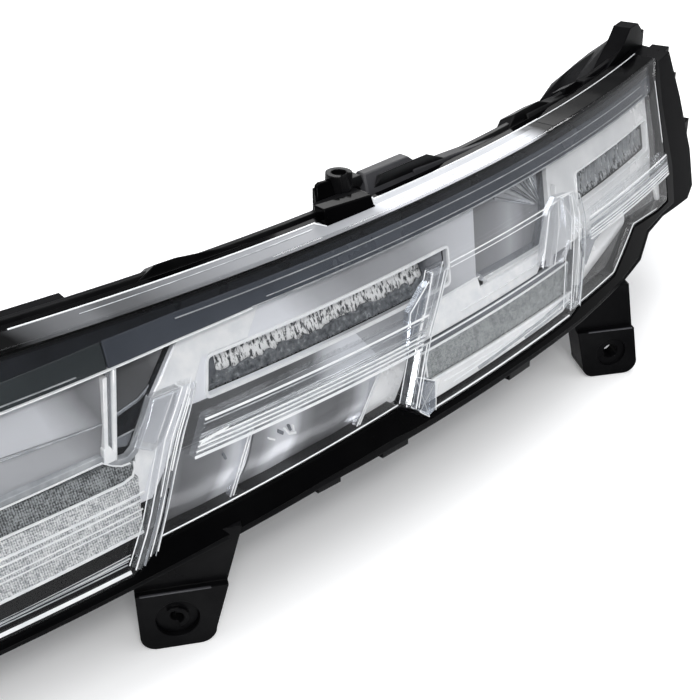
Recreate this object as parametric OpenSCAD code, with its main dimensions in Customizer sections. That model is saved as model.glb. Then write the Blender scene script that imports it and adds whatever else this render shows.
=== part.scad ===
/* [Sweep] */
// Plan radius of the lens along its top front edge
sweep_r = 896; // [860:1:940]
// How far the lens face leans forward towards its foot, in degrees
rake = 22; // [19:0.5:25]
// Length of lens inboard of the top boss, along the sweep
inboard_reach = 232; // [226:1:240]
// Length of lens outboard of the top boss, along the sweep
outboard_reach = 236; // [232:1:240]

/* [Lens] */
// Height of the top boss's mouth above the lens's top edge
boss_rise = 9.4; // [8.8:0.1:10.4]
// Lens wall
lens_wall = 3; // [2.5:0.1:3.5]
// Depth of the lens's edge walls, measured back from its face
lens_return = 17; // [15:0.5:18]
// How far the crystal slabs and bars stand out of the lens face
crystal_proud = 4.5; // [3:0.25:5.5]
// How far the low plateaus stand out of the lens face
plateau_proud = 2; // [1:0.25:2.5]
// Height of each crystal bar
crystal_bar_h = 11; // [9:0.5:12]

/* [Housing] */
// Housing wall
wall = 2.6; // [2.2:0.1:3.2]
// Depth from the lens's top edge to the outside of the rear wall
rear_depth = 54; // [50:1:58]
// Distance from the lens's top edge back to the front of the roof
roof_set = 15; // [13:0.5:17]
// Width of the roof, front to back
roof_w = 9; // [8:0.5:11]
// Height of the boss's mouth above the roof
roof_drop = 4.5; // [4:0.25:5.5]
// Width of the rim beyond the inboard end of the lens
inboard_rim = 14; // [11:1:18]
// Width of the rim beyond the outboard end of the lens
outboard_rim = 24; // [20:1:27]
// Play between the lens's edge wall and its channel
channel_play = 0.6; // [0.4:0.1:0.8]

/* [Top boss] */
// Outside radius of the top boss at its mouth
boss_r = 5.2; // [4.6:0.1:6]
// Radius of the hole in the top boss
boss_bore_r = 3; // [2.5:0.1:3.4]
// Depth of the hole in the top boss
boss_bore_depth = 12; // [10:0.5:13]

/* [Legs] */
// Turn of the mounting legs from the lamp's own front, in degrees
leg_yaw = -33; // [-38:1:-28]
// Height of the leg holes' centres below the boss's mouth
leg_drop = 119.4; // [117:0.2:122]
// Width of a leg's pad
leg_w = 27; // [25:0.5:30]
// Height of a leg's pad
leg_h = 24; // [22:0.5:26]
// Depth of a leg, front to back
leg_d = 15; // [12:0.5:18]
// Wall of a leg
leg_wall = 3.2; // [2.6:0.1:4]
// Radius of the plain leg holes
leg_bore_r = 3.5; // [3:0.1:4]
// Radius of the ring sunk round a plain leg hole
leg_ring_r = 7.1; // [6:0.1:8]
// Radius of the socket for the quarter-turn clip
clip_socket_r = 7.8; // [7:0.1:8.5]
// Radius of the bore in the quarter-turn clip
clip_bore_r = 2.4; // [2:0.1:2.6]

/* [Inner optics] */
// Gap between the lens's inner face and the front of the light guides
guide_gap = 0.9; // [0.6:0.1:1.5]
// Thickness of the light guides
guide_t = 12; // [9:0.5:13]
// Distance from the lens's face back to the front of the bezel
bezel_set = 7; // [6:0.25:8]
// Bezel wall
bezel_t = 2; // [1.6:0.1:2.4]
// Thickness of the fluted optics
flute_t = 4; // [3:0.25:5]
// Spacing of the flutes
flute_pitch = 3; // [2:0.25:4]
// Play between pieces that seat on one another
seat_play = 0.2; // [0.1:0.05:0.3]

/* [Boards] */
// Thickness of the circuit boards
board_t = 1.6; // [1:0.1:2]
// Radius of the posts that carry the boards
post_r = 3.2; // [2.8:0.1:4]
// Radius of the screws
screw_r = 1.25; // [1:0.05:1.4]
// Length of the screws under their heads
screw_len = 8; // [6:0.5:10]

/* [Rear fittings] */
// Width of the heat sink's plate
sink_w = 92; // [84:1:100]
// Height of the heat sink's plate
sink_h = 28; // [24:1:30]
// Height of the heat sink's fins
fin_h = 11; // [9:0.5:12]
// Number of fins
fins = 12; // [8:1:14]
// Width of the driver's cover
driver_w = 64; // [58:1:70]
// Height of the driver's cover
driver_h = 28; // [24:1:30]
// Depth of the driver's cover
driver_d = 15; // [13:0.5:18]
// Width of the connector's socket, outside
socket_w = 24; // [22:0.5:28]
// Height of the connector's socket, outside
socket_h = 14; // [13:0.5:15]
// Depth of the connector's socket
socket_d = 15; // [12:0.5:18]
// Radius of the vent's cap
vent_r = 8; // [7:0.25:9]

/* [Hidden] */
$fn = 64;

black = [0.06, 0.06, 0.07];
clear = [0.86, 0.9, 0.94, 0.35];
silver = [0.75, 0.76, 0.78];
chrome = [0.88, 0.89, 0.91];
green = [0.1, 0.3, 0.18];
steel = [0.6, 0.61, 0.62];

// The sweep's centre lies behind the top boss, which stands over the roof's back edge
boss_inset = 23.5;
sweep_y = sweep_r - boss_inset;
lens_top_z = -boss_rise;
roof_z = -roof_drop;
face_slope = tan(rake);

// Places along the sweep are stations, in mm from the boss as drawn; a change of reach spreads them evenly
inboard_end = -232;
outboard_end = 236;
function spread(u) = u < 0 ? inboard_reach / -inboard_end : outboard_reach / outboard_end;
// Angle round the sweep for a station
function turn(u) = u * spread(u) / sweep_r * 180 / PI;
// How far the lens's face stands forward of its top edge at height z
function face_d(z) = (lens_top_z - z) * face_slope;
// Where a point of the face falls in a front view taken at station mid
function across(p, mid = 0) = [(sweep_r + face_d(p[1])) * sin(turn(p[0]) - turn(mid)), p[1]];
function unit(v) = v / norm(v);
function inward(a, b) = unit([a[1] - b[1], b[0] - a[0]]);
// A closed outline, counter-clockwise, moved inward by t
function inset(points, t) =
  let (n = len(points))
  [for (i = [0:n - 1])
    let (
      before = inward(points[(i + n - 1) % n], points[i]),
      after = inward(points[i], points[(i + 1) % n])
    )
    points[i] + t * (before + after) / (1 + before * after)];

// The lens's edge on its face, as [length along the sweep, height]
left_foot_z = -87;
mid_foot_z = -83;
lens_edge = [
  [inboard_end, lens_top_z],
  [inboard_end, left_foot_z - 5],
  [-136, left_foot_z],
  [-125, -79.5],
  [-18, -75],
  [-6, mid_foot_z],
  [92, -81.5],
  [101, -79.5],
  [134, -78.5],
  [150, -72],
  [163, -66.5],
  [191, -69],
  [outboard_end - 32, -69],
  [outboard_end - 19, -45],
  [outboard_end - 8, -18],
  [outboard_end, lens_top_z]
];
lens_front = [for (p = lens_edge) across(p)];

// The housing's edge in the same terms, with its top left to the roof
case_edge = [
  [inboard_end - inboard_rim, 20],
  [inboard_end - inboard_rim, left_foot_z - 10.5],
  [-138, left_foot_z - 4.8],
  [-60, -88.5],
  [100, -87.5],
  [140, -85.5],
  [162, -83],
  [177, -75.5],
  [196, -74.5],
  [outboard_end - 5, -78],
  [outboard_end + 6, -75],
  [outboard_end + 16, -60],
  [outboard_end + outboard_rim - 2, -35],
  [outboard_end + outboard_rim, -12],
  [outboard_end + outboard_rim, 20]
];
case_front = [for (p = case_edge) across(p)];

// The rear shell's section, as [forward of the lens's top edge, height], open to the front
roof_back = -(roof_set + roof_w);
rear_profile = [
  [70, roof_z],
  [roof_back, roof_z],
  [8 - rear_depth, -24],
  [-rear_depth, -32],
  [-rear_depth, -64],
  [14 - rear_depth, -78],
  [10, -106],
  [70, -106]
];

// Depths measured back from the lens's face
channel_back = lens_return + 2.5;
rim_set = 1;
ledge_set = bezel_set + bezel_t + seat_play;
// Distances measured in from the lens's edge
channel_in = lens_wall + channel_play;
throat_in = channel_in + wall;
bezel_in = channel_in + 0.3;

// Places one thing at a station of the sweep: x runs outboard, y back and z up from the lens's top edge
module at(u)
  translate([0, sweep_y, 0])
    rotate([0, 0, turn(u)])
      translate([0, -sweep_r, 0])
        children();

// Turns a section, drawn as [forward of the lens's top edge, height], round the sweep
module sweep(u0 = -330, u1 = 330)
  translate([0, sweep_y, 0])
    rotate_extrude(start = 270 + turn(u0), angle = turn(u1) - turn(u0), $fn = 360)
      translate([sweep_r, 0])
        children();

// The space between two depths behind the lens's face
module layer(k0, k1, z0 = -120, z1 = 30, u0 = -330, u1 = 330)
  sweep(u0, u1)
    polygon([
      [face_d(z1) - k0, z1],
      [face_d(z1) - k1, z1],
      [face_d(z0) - k1, z0],
      [face_d(z0) - k0, z0]
    ]);

// A front-view outline run from y0 to y1
module prism(points, y0 = -130, y1 = 110)
  translate([0, y1, 0])
    rotate([90, 0, 0])
      linear_extrude(y1 - y0)
        polygon(points);

// An outline given on the lens's face, run straight back from there
module through(points, mid, y0 = -60, y1 = 60)
  at(mid)
    prism([for (p = points) across(p, mid)], y0, y1);

// An outline on the face, grown by t
module through_grown(points, mid, t, y0 = -60, y1 = 60)
  at(mid)
    prism(inset([for (p = points) across(p, mid)], -t), y0, y1);

// The lens

// Feet and heads of the three slanting crystal slabs
slab_left = [[-97, -29], [-112, -57], [-136, -87], [-127, -84], [-122, -79], [-102, -54], [-88, -29]];
slab_mid = [[12, -37], [2, -46], [-6, -58], [-17, -75.5], [-7, -82], [1, -66], [9, -55], [24, -36]];
slab_right = [[113, -33], [108, -56], [94, -81], [105, -79.5], [120, -58], [129, -36]];
plateau_left = [[inboard_end, -59], [inboard_end, -94], [-136, -87], [-113, -59]];
plateau_right = [[4, -61], [-6, -83], [92, -81.5], [108, -61]];
bar_top_z = -47.5;
bar_bottom_z = bar_top_z - crystal_bar_h;

// The bars stand a little lower than the slabs
bar_proud = crystal_proud - 0.7;

// A bar with two bright ridges and a valley between them
module crystal_bar(u0, u1) {
  h = crystal_bar_h;
  heights = [0, 0.07, 0.3, 0.37, 0.63, 0.7, 0.93, 1];
  depths = [-0.5, 1, 1, 0.35, 0.35, 1, 1, -0.5];
  sweep(u0, u1)
    polygon([
      for (i = [0:7])
        let (z = bar_top_z - h * heights[i])
        [face_d(z) + (depths[i] < 0 ? -0.5 : bar_proud * depths[i]), z]
    ]);
}

module raised(points, mid, proud)
  intersection() {
    layer(-proud, 0.5, -100, -20);
    through(points, mid);
  }

// A slab stands out in two steps, so its edges catch the light twice
module slab(points, mid) {
  raised(points, mid, crystal_proud * 0.55);
  intersection() {
    layer(-crystal_proud, 0.5, -100, -20);
    through_grown(points, mid, -1.6);
    at(0)
      prism(inset(lens_front, 0.4));
  }
}

module outer_lens()
  color(clear)
    union() {
      difference() {
        intersection() {
          layer(0, lens_return);
          prism(lens_front);
        }
        intersection() {
          layer(lens_wall, lens_return + 20);
          prism(inset(lens_front, lens_wall));
        }
      }
      intersection() {
        union() {
          slab(slab_left, -110);
          slab(slab_mid, 0);
          slab(slab_right, 110);
          raised(plateau_left, -170, plateau_proud);
          raised(plateau_right, 50, plateau_proud);
          crystal_bar(-104, 2);
          crystal_bar(118, outboard_end - 22);
        }
        prism(lens_front);
      }
    }

module channel(k0, k1, play)
  intersection() {
    layer(k0, k1);
    difference() {
      prism(inset(lens_front, -play));
      prism(inset(lens_front, lens_wall + play));
    }
  }

module lens_seal()
  color("black")
    channel(lens_return + seat_play, channel_back - seat_play, channel_play - 0.1);

// The housing

// Raised clip pads on the roof: start, peak, end of the peak, end and height
roof_pads = [
  [-102, -93, -85, -46, 5.5],
  [9, 18, 44, 62, 5.5],
  [106, 112, 132, 150, 5],
  [156, 162, 172, 186, 3.5],
  [-200, -192, -170, -160, 5]
];
// Locating lugs under the rim: middle, width
rim_lugs = [[-56, 11], [-23, 14], [53, 15]];

module roof_pad(p)
  at(p[1])
    prism(
      [
        [p[0] - p[1], roof_z - 1],
        [p[3] - p[1], roof_z - 1],
        [p[2] - p[1], roof_z + p[4]],
        [0, roof_z + p[4]]
      ],
      roof_set + 1.5,
      roof_set + roof_w
    );

module rim_lug(p) {
  bottom_z = -88;
  front_y = -face_d(bottom_z) + rim_set;
  at(p[0])
    translate([-p[1] / 2, front_y + 1, bottom_z - 3.4])
      cube([p[1], 9, 6]);
}

// The tall outboard corner, its guide pegs and the snap nose below them
module outboard_corner() {
  at(outboard_end + 12)
    prism([[-22, roof_z - 2], [10, roof_z - 14], [10, roof_z + 2], [3, roof_z + 6.5], [-9, roof_z + 7]], 4, 24);
  at(outboard_end + outboard_rim) {
    translate([-3, 2, -20])
      cube([12, 9, 8]);
    translate([-4, -4, -31])
      cube([10, 8, 6]);
    translate([-6, -14, -60])
      cube([11, 8, 12]);
  }
}

module boss_tower() {
  foot_z = -16;
  translate([0, 0, foot_z])
    cylinder(r1 = boss_r + 1.2, r2 = boss_r, h = -foot_z);
  // Side fins
  translate([-13, -1.2, foot_z])
    cube([26, 2.4, 13]);
  // Buttress running outboard
  translate([0, 3, 0])
    rotate([90, 0, 0])
      linear_extrude(6)
        polygon([[0, foot_z], [15, foot_z], [15, roof_z + 2], [9, -3], [0, -3]]);
}

// The hook plate that laps over the lens's top edge wall in front of the boss
module boss_hook() {
  front_d = 4.5;
  at(-6)
    translate([-13, front_d, lens_top_z + channel_play + 0.1])
      cube([26, roof_set + 2 - front_d, roof_z - lens_top_z - channel_play - 0.1]);
}

// A mounting leg: its pad faces straight ahead of the vehicle, so it is turned from the lamp's sweep
module leg_pad_outline(lean_left, lean_right) {
  r = 6;
  half = leg_w / 2;
  foot = -leg_h / 2 - 0.4;
  top = 34;
  union() {
    polygon([
      [-half, foot + r],
      [-half + r, foot],
      [half - r, foot],
      [half, foot + r],
      [half + lean_right, top],
      [-half - lean_left, top]
    ]);
    for (side = [-1, 1])
      translate([side * (half - r), foot + r])
        circle(r = r);
  }
}

module leg_solid(lean_left, lean_right)
  rotate([90, 0, 0])
    translate([0, 0, -leg_d])
      linear_extrude(leg_d)
        leg_pad_outline(lean_left, lean_right);

// Leg places: x, y, lean to the left, lean to the right, and whether it takes the quarter-turn clip
leg_places = [
  [-216, -16, 8, 3, 0],
  [-122.5, -40.7, 1, 11, 1],
  [138.6, -43.5, 9, -7, 0]
];

clip_socket_deep = 5;
clip_barrel_r = 4.9;

module at_leg(p)
  translate([p[0], p[1], -leg_drop])
    rotate([0, 0, leg_yaw])
      children();

module leg_body(p)
  intersection() {
    at_leg(p)
      difference() {
        leg_solid(p[2], p[3]);
        // The web above the pad is set back
        translate([-leg_w, -1, leg_h / 2])
          cube([2 * leg_w, 1 + 3, 60]);
      }
    sweep()
      polygon([[40, -84], [-40, -84], [-40, -140], [40, -140]]);
  }

module leg_hollow(p)
  at_leg(p)
    difference() {
      translate([0, leg_wall + 3, 0])
        intersection() {
          leg_solid(p[2] - leg_wall, p[3] - leg_wall);
          translate([-40, -1, leg_wall - leg_h / 2])
            cube([80, leg_d + 20, 60]);
          translate([-leg_w / 2 + leg_wall, -1, -40])
            cube([leg_w - 2 * leg_wall, leg_d + 20, leg_drop - 93 + 40]);
        }
      // The boss round the hole keeps its full depth
      rotate([-90, 0, 0])
        cylinder(r = clip_socket_r + leg_wall, h = 9);
    }

module leg_holes(p)
  at_leg(p)
    rotate([-90, 0, 0])
      if (p[4] == 1) {
        translate([0, 0, -1])
          cylinder(r = clip_socket_r, h = clip_socket_deep + 1);
        cylinder(r = clip_barrel_r + seat_play, h = 40);
      } else {
        translate([0, 0, -1])
          cylinder(r = leg_ring_r, h = 2.2);
        cylinder(r = leg_bore_r, h = 40);
      }

// Boards: station, middle height, width, height, depth of the front face, posts' offset from the middle
board_low_left_at = [-182, -71, 88, 13, 0];
board_mid_at = [-28, -42, 112, 14, 15];
board_low_right_at = [49, -69, 88, 11, 0];
board_outer_at = [178, -43.5, 70, 14, 13];
all_boards = [board_low_left_at, board_mid_at, board_low_right_at, board_outer_at];
post_margin = 6;
function board_w(b) = b[2] * spread(b[0]);

module each_post(b)
  at(b[0])
    for (side = [-1, 1])
      translate([side * (board_w(b) / 2 - post_margin), b[4] + board_t, b[1]])
        rotate([-90, 0, 0])
          children();

rear_pads = [
  // The heat sink, the driver and the connector: station, middle height, width, height
  [-28, -49, sink_w + 6, sink_h + 4],
  [-130, -49, driver_w + 8, driver_h + 4],
  [60, -49, socket_w + 22, socket_h + 9]
];
pad_y = rear_depth + 2;

module rear_pad(p)
  at(p[0])
    translate([-p[2] / 2, rear_depth - wall - 1, p[1] - p[3] / 2])
      cube([p[2], wall + 3, p[3]]);

sink_at = rear_pads[0];
driver_at = rear_pads[1];
socket_at = rear_pads[2];
vent_at = [120, -49];
plate_t = 3;
flange_t = 2.2;
rear_screw_len = 4.4;
corner_margin = 4;
sink_foot = [58, 7];
driver_board_w = driver_w - 22;
driver_board_h = driver_h - 6;
standoff = 2;
blade = [0.8, 2.2];
blade_pitch = 4.4;
blades = 4;

module on_pad(p)
  at(p[0])
    translate([0, pad_y + seat_play / 2, p[1]])
      children();

module four_corners(w, h)
  for (x = [-1, 1], z = [-1, 1])
    translate([x * (w / 2 - corner_margin), 0, z * (h / 2 - corner_margin)])
      children();

module two_sides(half)
  for (side = [-1, 1])
    translate([side * half, 0, 0])
      children();

module clear_hole(depth)
  rotate([-90, 0, 0])
    translate([0, 0, -1])
      cylinder(r = screw_r + 0.3, h = depth + 2);

module tapped_hole()
  rotate([90, 0, 0])
    translate([0, 0, -1])
      cylinder(r = screw_r + 0.05, h = rear_screw_len + 1);

module each_blade()
  for (i = [0:blades - 1])
    translate([(i - (blades - 1) / 2) * blade_pitch, 0, 0])
      children();

// Openings and screw holes in the rear pads
module rear_openings() {
  on_pad(sink_at) {
    four_corners(sink_w, sink_h)
      tapped_hole();
    translate([-sink_foot[0] / 2 - 0.5, -10, board_mid_at[1] - sink_at[1] - sink_foot[1] / 2 - 0.5])
      cube([sink_foot[0] + 1, 20, sink_foot[1] + 1]);
  }
  on_pad(driver_at) {
    four_corners(driver_w, driver_h)
      tapped_hole();
    translate([-5, -10, -10])
      cube([10, 20, 5]);
  }
  on_pad(socket_at) {
    two_sides(socket_w / 2 + 4)
      tapped_hole();
    translate([-9, -10, -2.5])
      cube([18, 20, 5]);
  }
}

module housing()
  color(black)
    difference() {
      union() {
        difference() {
          union() {
            intersection() {
              sweep()
                polygon(rear_profile);
              prism(case_front);
              layer(rim_set, 200);
            }
            for (p = rim_lugs)
              rim_lug(p);
            for (p = leg_places)
              leg_body(p);
            outboard_corner();
          }
          // Nothing stands over the lens's top edge wall in front of the roof
          sweep()
            polygon([
              [60, lens_top_z - lens_wall - channel_play],
              [60, 20],
              [-roof_set, 20],
              [-roof_set, lens_top_z - lens_wall - channel_play]
            ]);
          // The rear chamber
          intersection() {
            sweep()
              polygon(inset(rear_profile, wall));
            prism(inset(case_front, wall));
            layer(channel_back + wall, 200);
          }
          // The throat, whose front edge the bezel seats on
          intersection() {
            layer(-20, channel_back + wall + 1);
            prism(inset(lens_front, throat_in));
          }
          channel(-20, channel_back, channel_play);
          intersection() {
            layer(-20, ledge_set);
            prism(inset(lens_front, -channel_play));
          }
        }
        for (p = roof_pads)
          roof_pad(p);
        difference() {
          boss_tower();
          layer(-20, channel_back, -60, lens_top_z + channel_play);
        }
        boss_hook();
        intersection() {
          sweep()
            polygon(inset(rear_profile, 1));
          for (b = all_boards)
            each_post(b)
              cylinder(r = post_r, h = rear_depth);
        }
        for (p = rear_pads)
          rear_pad(p);
        // Pegs that carry the driver's board
        at(driver_at[0])
          translate([0, pad_y - 1, driver_at[1]])
            two_sides(driver_board_w / 2 - 4)
              rotate([-90, 0, 0]) {
                cylinder(r = 2.8, h = standoff + 1);
                cylinder(r = 1.5, h = standoff + board_t + 2);
              }
        at(vent_at[0])
          translate([0, rear_depth - 1, vent_at[1]])
            rotate([-90, 0, 0])
              cylinder(r = vent_r - 2, h = 5);
      }
      // Holes
      translate([0, 0, -boss_bore_depth])
        cylinder(r = boss_bore_r, h = 40);
      for (p = leg_places) {
        leg_hollow(p);
        leg_holes(p);
      }
      for (b = all_boards)
        each_post(b)
          translate([0, 0, -1])
            cylinder(r = screw_r + 0.05, h = screw_len + 1);
      at(vent_at[0])
        translate([0, rear_depth - 10, vent_at[1]])
          rotate([-90, 0, 0])
            cylinder(r = 3, h = 30);
      rear_openings();
    }

// The bezels and reflectors

pocket_left_edge = [[-121, -26], [-129, -53.5], [-122.5, -54.5], [-112, -43], [-98, -26]];
win_mid = [[-87, -36], [-91, -47], [30, -47], [34, -36]];
pocket_right_edge = [[58, -26], [49, -50], [53, -53], [95, -54], [104, -46], [113, -26]];
win_outer = [[140, -36], [135, -50], [203, -51], [211, -37]];
guide_left_edge = [[-226, -57], [-226, -88], [-134.6, -82], [-128.2, -69], [-122.8, -57.5]];
guide_right_edge = [[7, -63], [3, -74.5], [96, -74], [106, -64]];
low_mid_edge = [[-106, -60], [-140, -94], [-12, -94], [-8, -76], [-4, -60]];
low_outer_edge = [[120, -60.5], [104, -90], [172, -90], [166, -60.5]];
band_foot_z = -25;
left_panel_edge = [[-240, 0], [-240, -56.3], [-131, -55], [-121, -26], [-121, 0]];
// What the main bezel leaves free: the inboard end, and the dark window at the outboard foot
inboard_of_bezel = [
  [-260, 10], [-260, -110], [-148, -110], [-122, -58], [-112, -43], [-98, -26], [-98, 10]
];
dark_window = [[168, -61.5], [168, -94], [203, -94], [199, -61.5]];

module sheet(k0, t, rim_in)
  intersection() {
    layer(k0, k0 + t);
    prism(inset(lens_front, rim_in));
  }

// A raised frame round an opening in a bezel
module frame(points, mid, t)
  intersection() {
    layer(bezel_set - 2.2, bezel_set + 0.1);
    difference() {
      through_grown(points, mid, t);
      through(points, mid);
    }
    prism(inset(lens_front, bezel_in));
  }

module top_band()
  color([0.13, 0.14, 0.17])
    intersection() {
      layer(bezel_set - 2.4, bezel_set - seat_play, band_foot_z, 30);
      prism(inset(lens_front, bezel_in));
    }

// The satin panel at the inboard end is folded along its middle and ends in a bright pillar
module bezel_left() {
  fold_z = -43;
  fold_out = 1.6;
  color(silver)
    union() {
      intersection() {
        sweep(-260, -60)
          polygon([
            [face_d(0) - bezel_set, 0],
            [face_d(0) - bezel_set - bezel_t, 0],
            [face_d(band_foot_z) - bezel_set - bezel_t, band_foot_z],
            [face_d(fold_z) - bezel_set - bezel_t + fold_out, fold_z],
            [face_d(-55) - bezel_set - bezel_t, -55],
            [face_d(-60) - bezel_set - bezel_t, -60],
            [face_d(-60) - bezel_set, -60],
            [face_d(-55) - bezel_set, -55],
            [face_d(fold_z) - bezel_set + fold_out, fold_z],
            [face_d(band_foot_z) - bezel_set, band_foot_z]
          ]);
        through(left_panel_edge, -128, -90, 90);
        prism(inset(lens_front, bezel_in));
      }
      // The pillar
      intersection() {
        layer(bezel_set - 2.2, bezel_set + bezel_t - 0.4);
        through([[-126, -26], [-134, -54], [-130.2, -54], [-120.5, -26]], -128);
      }
    }
}

module bezel()
  color(silver)
    difference() {
      union() {
        sheet(bezel_set, bezel_t, bezel_in);
        frame(win_mid, -28, 1.4);
        frame(win_outer, 178, 1.2);
        // The plate that stands at the outboard side of the right pocket
        intersection() {
          layer(bezel_set - 2.2, bezel_set + 0.1);
          through([[104, -46], [93, -62], [95, -62], [113, -38], [113, -32]], 100);
        }
      }
      through(inboard_of_bezel, -112, -90, 90);
      through(dark_window, 185);
      through(win_mid, -28);
      through(win_outer, 178);
      through(pocket_right_edge, 80);
      through_grown(guide_right_edge, 55, seat_play);
      through_grown(low_mid_edge, -60, seat_play);
      through_grown(low_outer_edge, 140, seat_play);
    }

// A shallow tray behind an opening, whose rim seats on the bezel's back
module tray(points, mid, depth, t)
  difference() {
    intersection() {
      layer(ledge_set, ledge_set + depth + t);
      through_grown(points, mid, t);
    }
    intersection() {
      layer(ledge_set - 1, ledge_set + depth);
      through(points, mid);
    }
  }

module pocket_panel()
  color(black)
    intersection() {
      tray(pocket_left_edge, -112, 6, 1.4);
      prism(inset(lens_front, throat_in + seat_play));
    }

// Bright ribs fan out from the foot of the plate to the top of the pocket
module pocket_reflector() {
  ribs = 7;
  focus = [110, -47];
  tray_depth = 7;
  color(chrome)
    union() {
      tray(pocket_right_edge, 80, tray_depth, 1.4);
      intersection() {
        layer(ledge_set + tray_depth - 2.6, ledge_set + tray_depth + 0.3);
        through(pocket_right_edge, 80);
        union()
          for (i = [0:ribs - 1])
            let (a = 112 + i * 9, near = 14, far = 70)
            through(
              [
                focus + near * [cos(a - 1.5), sin(a - 1.5)],
                focus + far * [cos(a - 2.2), sin(a - 2.2)],
                focus + far * [cos(a + 2.2), sin(a + 2.2)],
                focus + near * [cos(a + 1.5), sin(a + 1.5)]
              ],
              80
            );
      }
    }
}

// A full reflector: its section swells forward between two heights
module bulge(z0, z1, depth, t)
  sweep() {
    steps = 8;
    polygon([
      for (i = [0:steps])
        let (z = z1 + (z0 - z1) * i / steps)
        [face_d(z) - bezel_set + depth * sin(180 * i / steps), z],
      for (i = [steps:-1:0])
        let (z = z1 + (z0 - z1) * i / steps)
        [face_d(z) - bezel_set - t + depth * sin(180 * i / steps), z]
    ]);
  }

module rib_fin(u0, z0, u1, z1)
  intersection() {
    layer(lens_wall + 0.6, bezel_set + 2);
    through([[u0 - 0.8, z0], [u1 - 0.8, z1], [u1 + 0.8, z1], [u0 + 0.8, z0]], (u0 + u1) / 2);
  }

module reflector_mid()
  color(chrome)
    intersection() {
      union() {
        bulge(-80, -60, 2.4, bezel_t);
        rib_fin(-77, -62, -92, -80);
        rib_fin(-20, -62, -37, -80);
      }
      through(low_mid_edge, -60);
      prism(inset(lens_front, bezel_in));
    }

module reflector_outer()
  color(chrome)
    intersection() {
      bulge(-80, -60.5, 2, bezel_t);
      through(low_outer_edge, 140);
      prism(inset(lens_front, bezel_in));
    }

// The light guides: thick clear bars with a stepped front

guide_front = lens_wall + guide_gap;
guide_back = guide_front + guide_t;

module stepped_bar(heights, depths)
  sweep() {
    n = len(heights);
    polygon([
      [face_d(heights[0]) - guide_back, heights[0]],
      [face_d(heights[n - 1]) - guide_back, heights[n - 1]],
      for (i = [n - 1:-1:0])
        [face_d(heights[i]) - guide_front - depths[i], heights[i]]
    ]);
  }

module guide_left()
  color(clear)
    intersection() {
      stepped_bar(
        [-56.5, -63, -63.6, -67, -67.6, -71.4, -72, -90],
        [3, 3, 0, 0, 1.4, 1.4, 0, 0]
      );
      through(guide_left_edge, -128, -90, 90);
      prism(inset(lens_front, throat_in + seat_play));
    }

module guide_right()
  color(clear)
    intersection() {
      stepped_bar([-62, -66, -66.6, -71, -71.6, -76], [0, 0, 1.4, 1.4, 0, 0]);
      through(guide_right_edge, 55);
    }

// A fluted plate that leans with the face: upright flutes in front, a smooth arc behind
module fluted(points, mid, mid_z)
  intersection() {
    at(mid)
      translate([0, -face_d(mid_z) + ledge_set, mid_z])
        rotate([-rake, 0, 0])
          linear_extrude(40, center = true) {
            half = 75;
            n = floor(2 * half / flute_pitch) * 2;
            polygon([
              for (i = [0:n])
                let (x = -half + i * flute_pitch / 2)
                [x, x * x / (2 * sweep_r) + (i % 2 == 0 ? 1.1 : 0)],
              for (i = [8:-1:-8])
                let (x = half * i / 8)
                [x, x * x / (2 * sweep_r) + flute_t]
            ]);
          }
    through_grown(points, mid, 2);
    prism(inset(lens_front, throat_in + seat_play));
  }

module flute_mid()
  color(clear)
    fluted(win_mid, -28, -41.5);

module flute_outer()
  color(clear)
    fluted(win_outer, 178, -43.5);

// The boards, their light-emitting diodes and their screws

module screw(length)
  color(steel)
    rotate([-90, 0, 0])
      difference() {
        union() {
          cylinder(r = screw_r, h = length);
          translate([0, 0, -1.5])
            cylinder(r = 2 * screw_r, h = 1.5);
        }
        for (turned = [0, 90])
          rotate(turned)
            translate([-1.2, -0.25, -1.6])
              cube([2.4, 0.5, 1]);
      }

module board(b)
  color(green)
    difference() {
      at(b[0])
        translate([-board_w(b) / 2, b[4], b[1] - b[3] / 2])
          cube([board_w(b), board_t, b[3]]);
      each_post(b)
        translate([0, 0, -board_t - 1])
          cylinder(r = screw_r + 0.3, h = board_t + 2);
    }

module leds(b, count) {
  chip = 3;
  usable = board_w(b) - 4 * post_margin;
  color("white")
    at(b[0])
      for (i = [0:count - 1])
        translate([(i + 0.5) * usable / count - usable / 2, b[4], b[1]])
          rotate([90, 0, 0])
            union() {
              translate([-chip / 2, -chip / 2, 0])
                cube([chip, chip, 0.8]);
              cylinder(r = 1.3, h = 1.5);
            }
}

module board_screws()
  for (b = all_boards)
    each_post(b)
      translate([0, 0, -board_t])
        rotate([90, 0, 0])
          screw(screw_len);

module board_low_left() board(board_low_left_at);
module board_mid() board(board_mid_at);
module board_low_right() board(board_low_right_at);
module board_outer() board(board_outer_at);
module leds_low_left() leds(board_low_left_at, 6);
module leds_mid() leds(board_mid_at, 8);
module leds_low_right() leds(board_low_right_at, 6);
module leds_outer() leds(board_outer_at, 5);

// Rear fittings, each seated on its flat pad

foot_reach = pad_y + seat_play / 2 - board_mid_at[4] - board_t - seat_play;

module heat_sink()
  color("silver")
    on_pad(sink_at)
      difference() {
        union() {
          translate([-sink_w / 2, 0, -sink_h / 2])
            cube([sink_w, plate_t, sink_h]);
          for (i = [0:fins - 1])
            translate([(i / (fins - 1) - 0.5) * (sink_w - 22) - 0.8, plate_t - 0.1, -sink_h / 2])
              cube([1.6, fin_h + 0.1, sink_h]);
          // The foot that reaches through the wall to the back of the middle board
          translate([-sink_foot[0] / 2, -foot_reach, board_mid_at[1] - sink_at[1] - sink_foot[1] / 2])
            cube([sink_foot[0], foot_reach + 0.1, sink_foot[1]]);
        }
        four_corners(sink_w, sink_h)
          clear_hole(plate_t);
      }

module sink_screws()
  on_pad(sink_at)
    four_corners(sink_w, sink_h)
      translate([0, plate_t, 0])
        mirror([0, 1, 0])
          screw(plate_t + rear_screw_len - 0.4);

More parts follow.
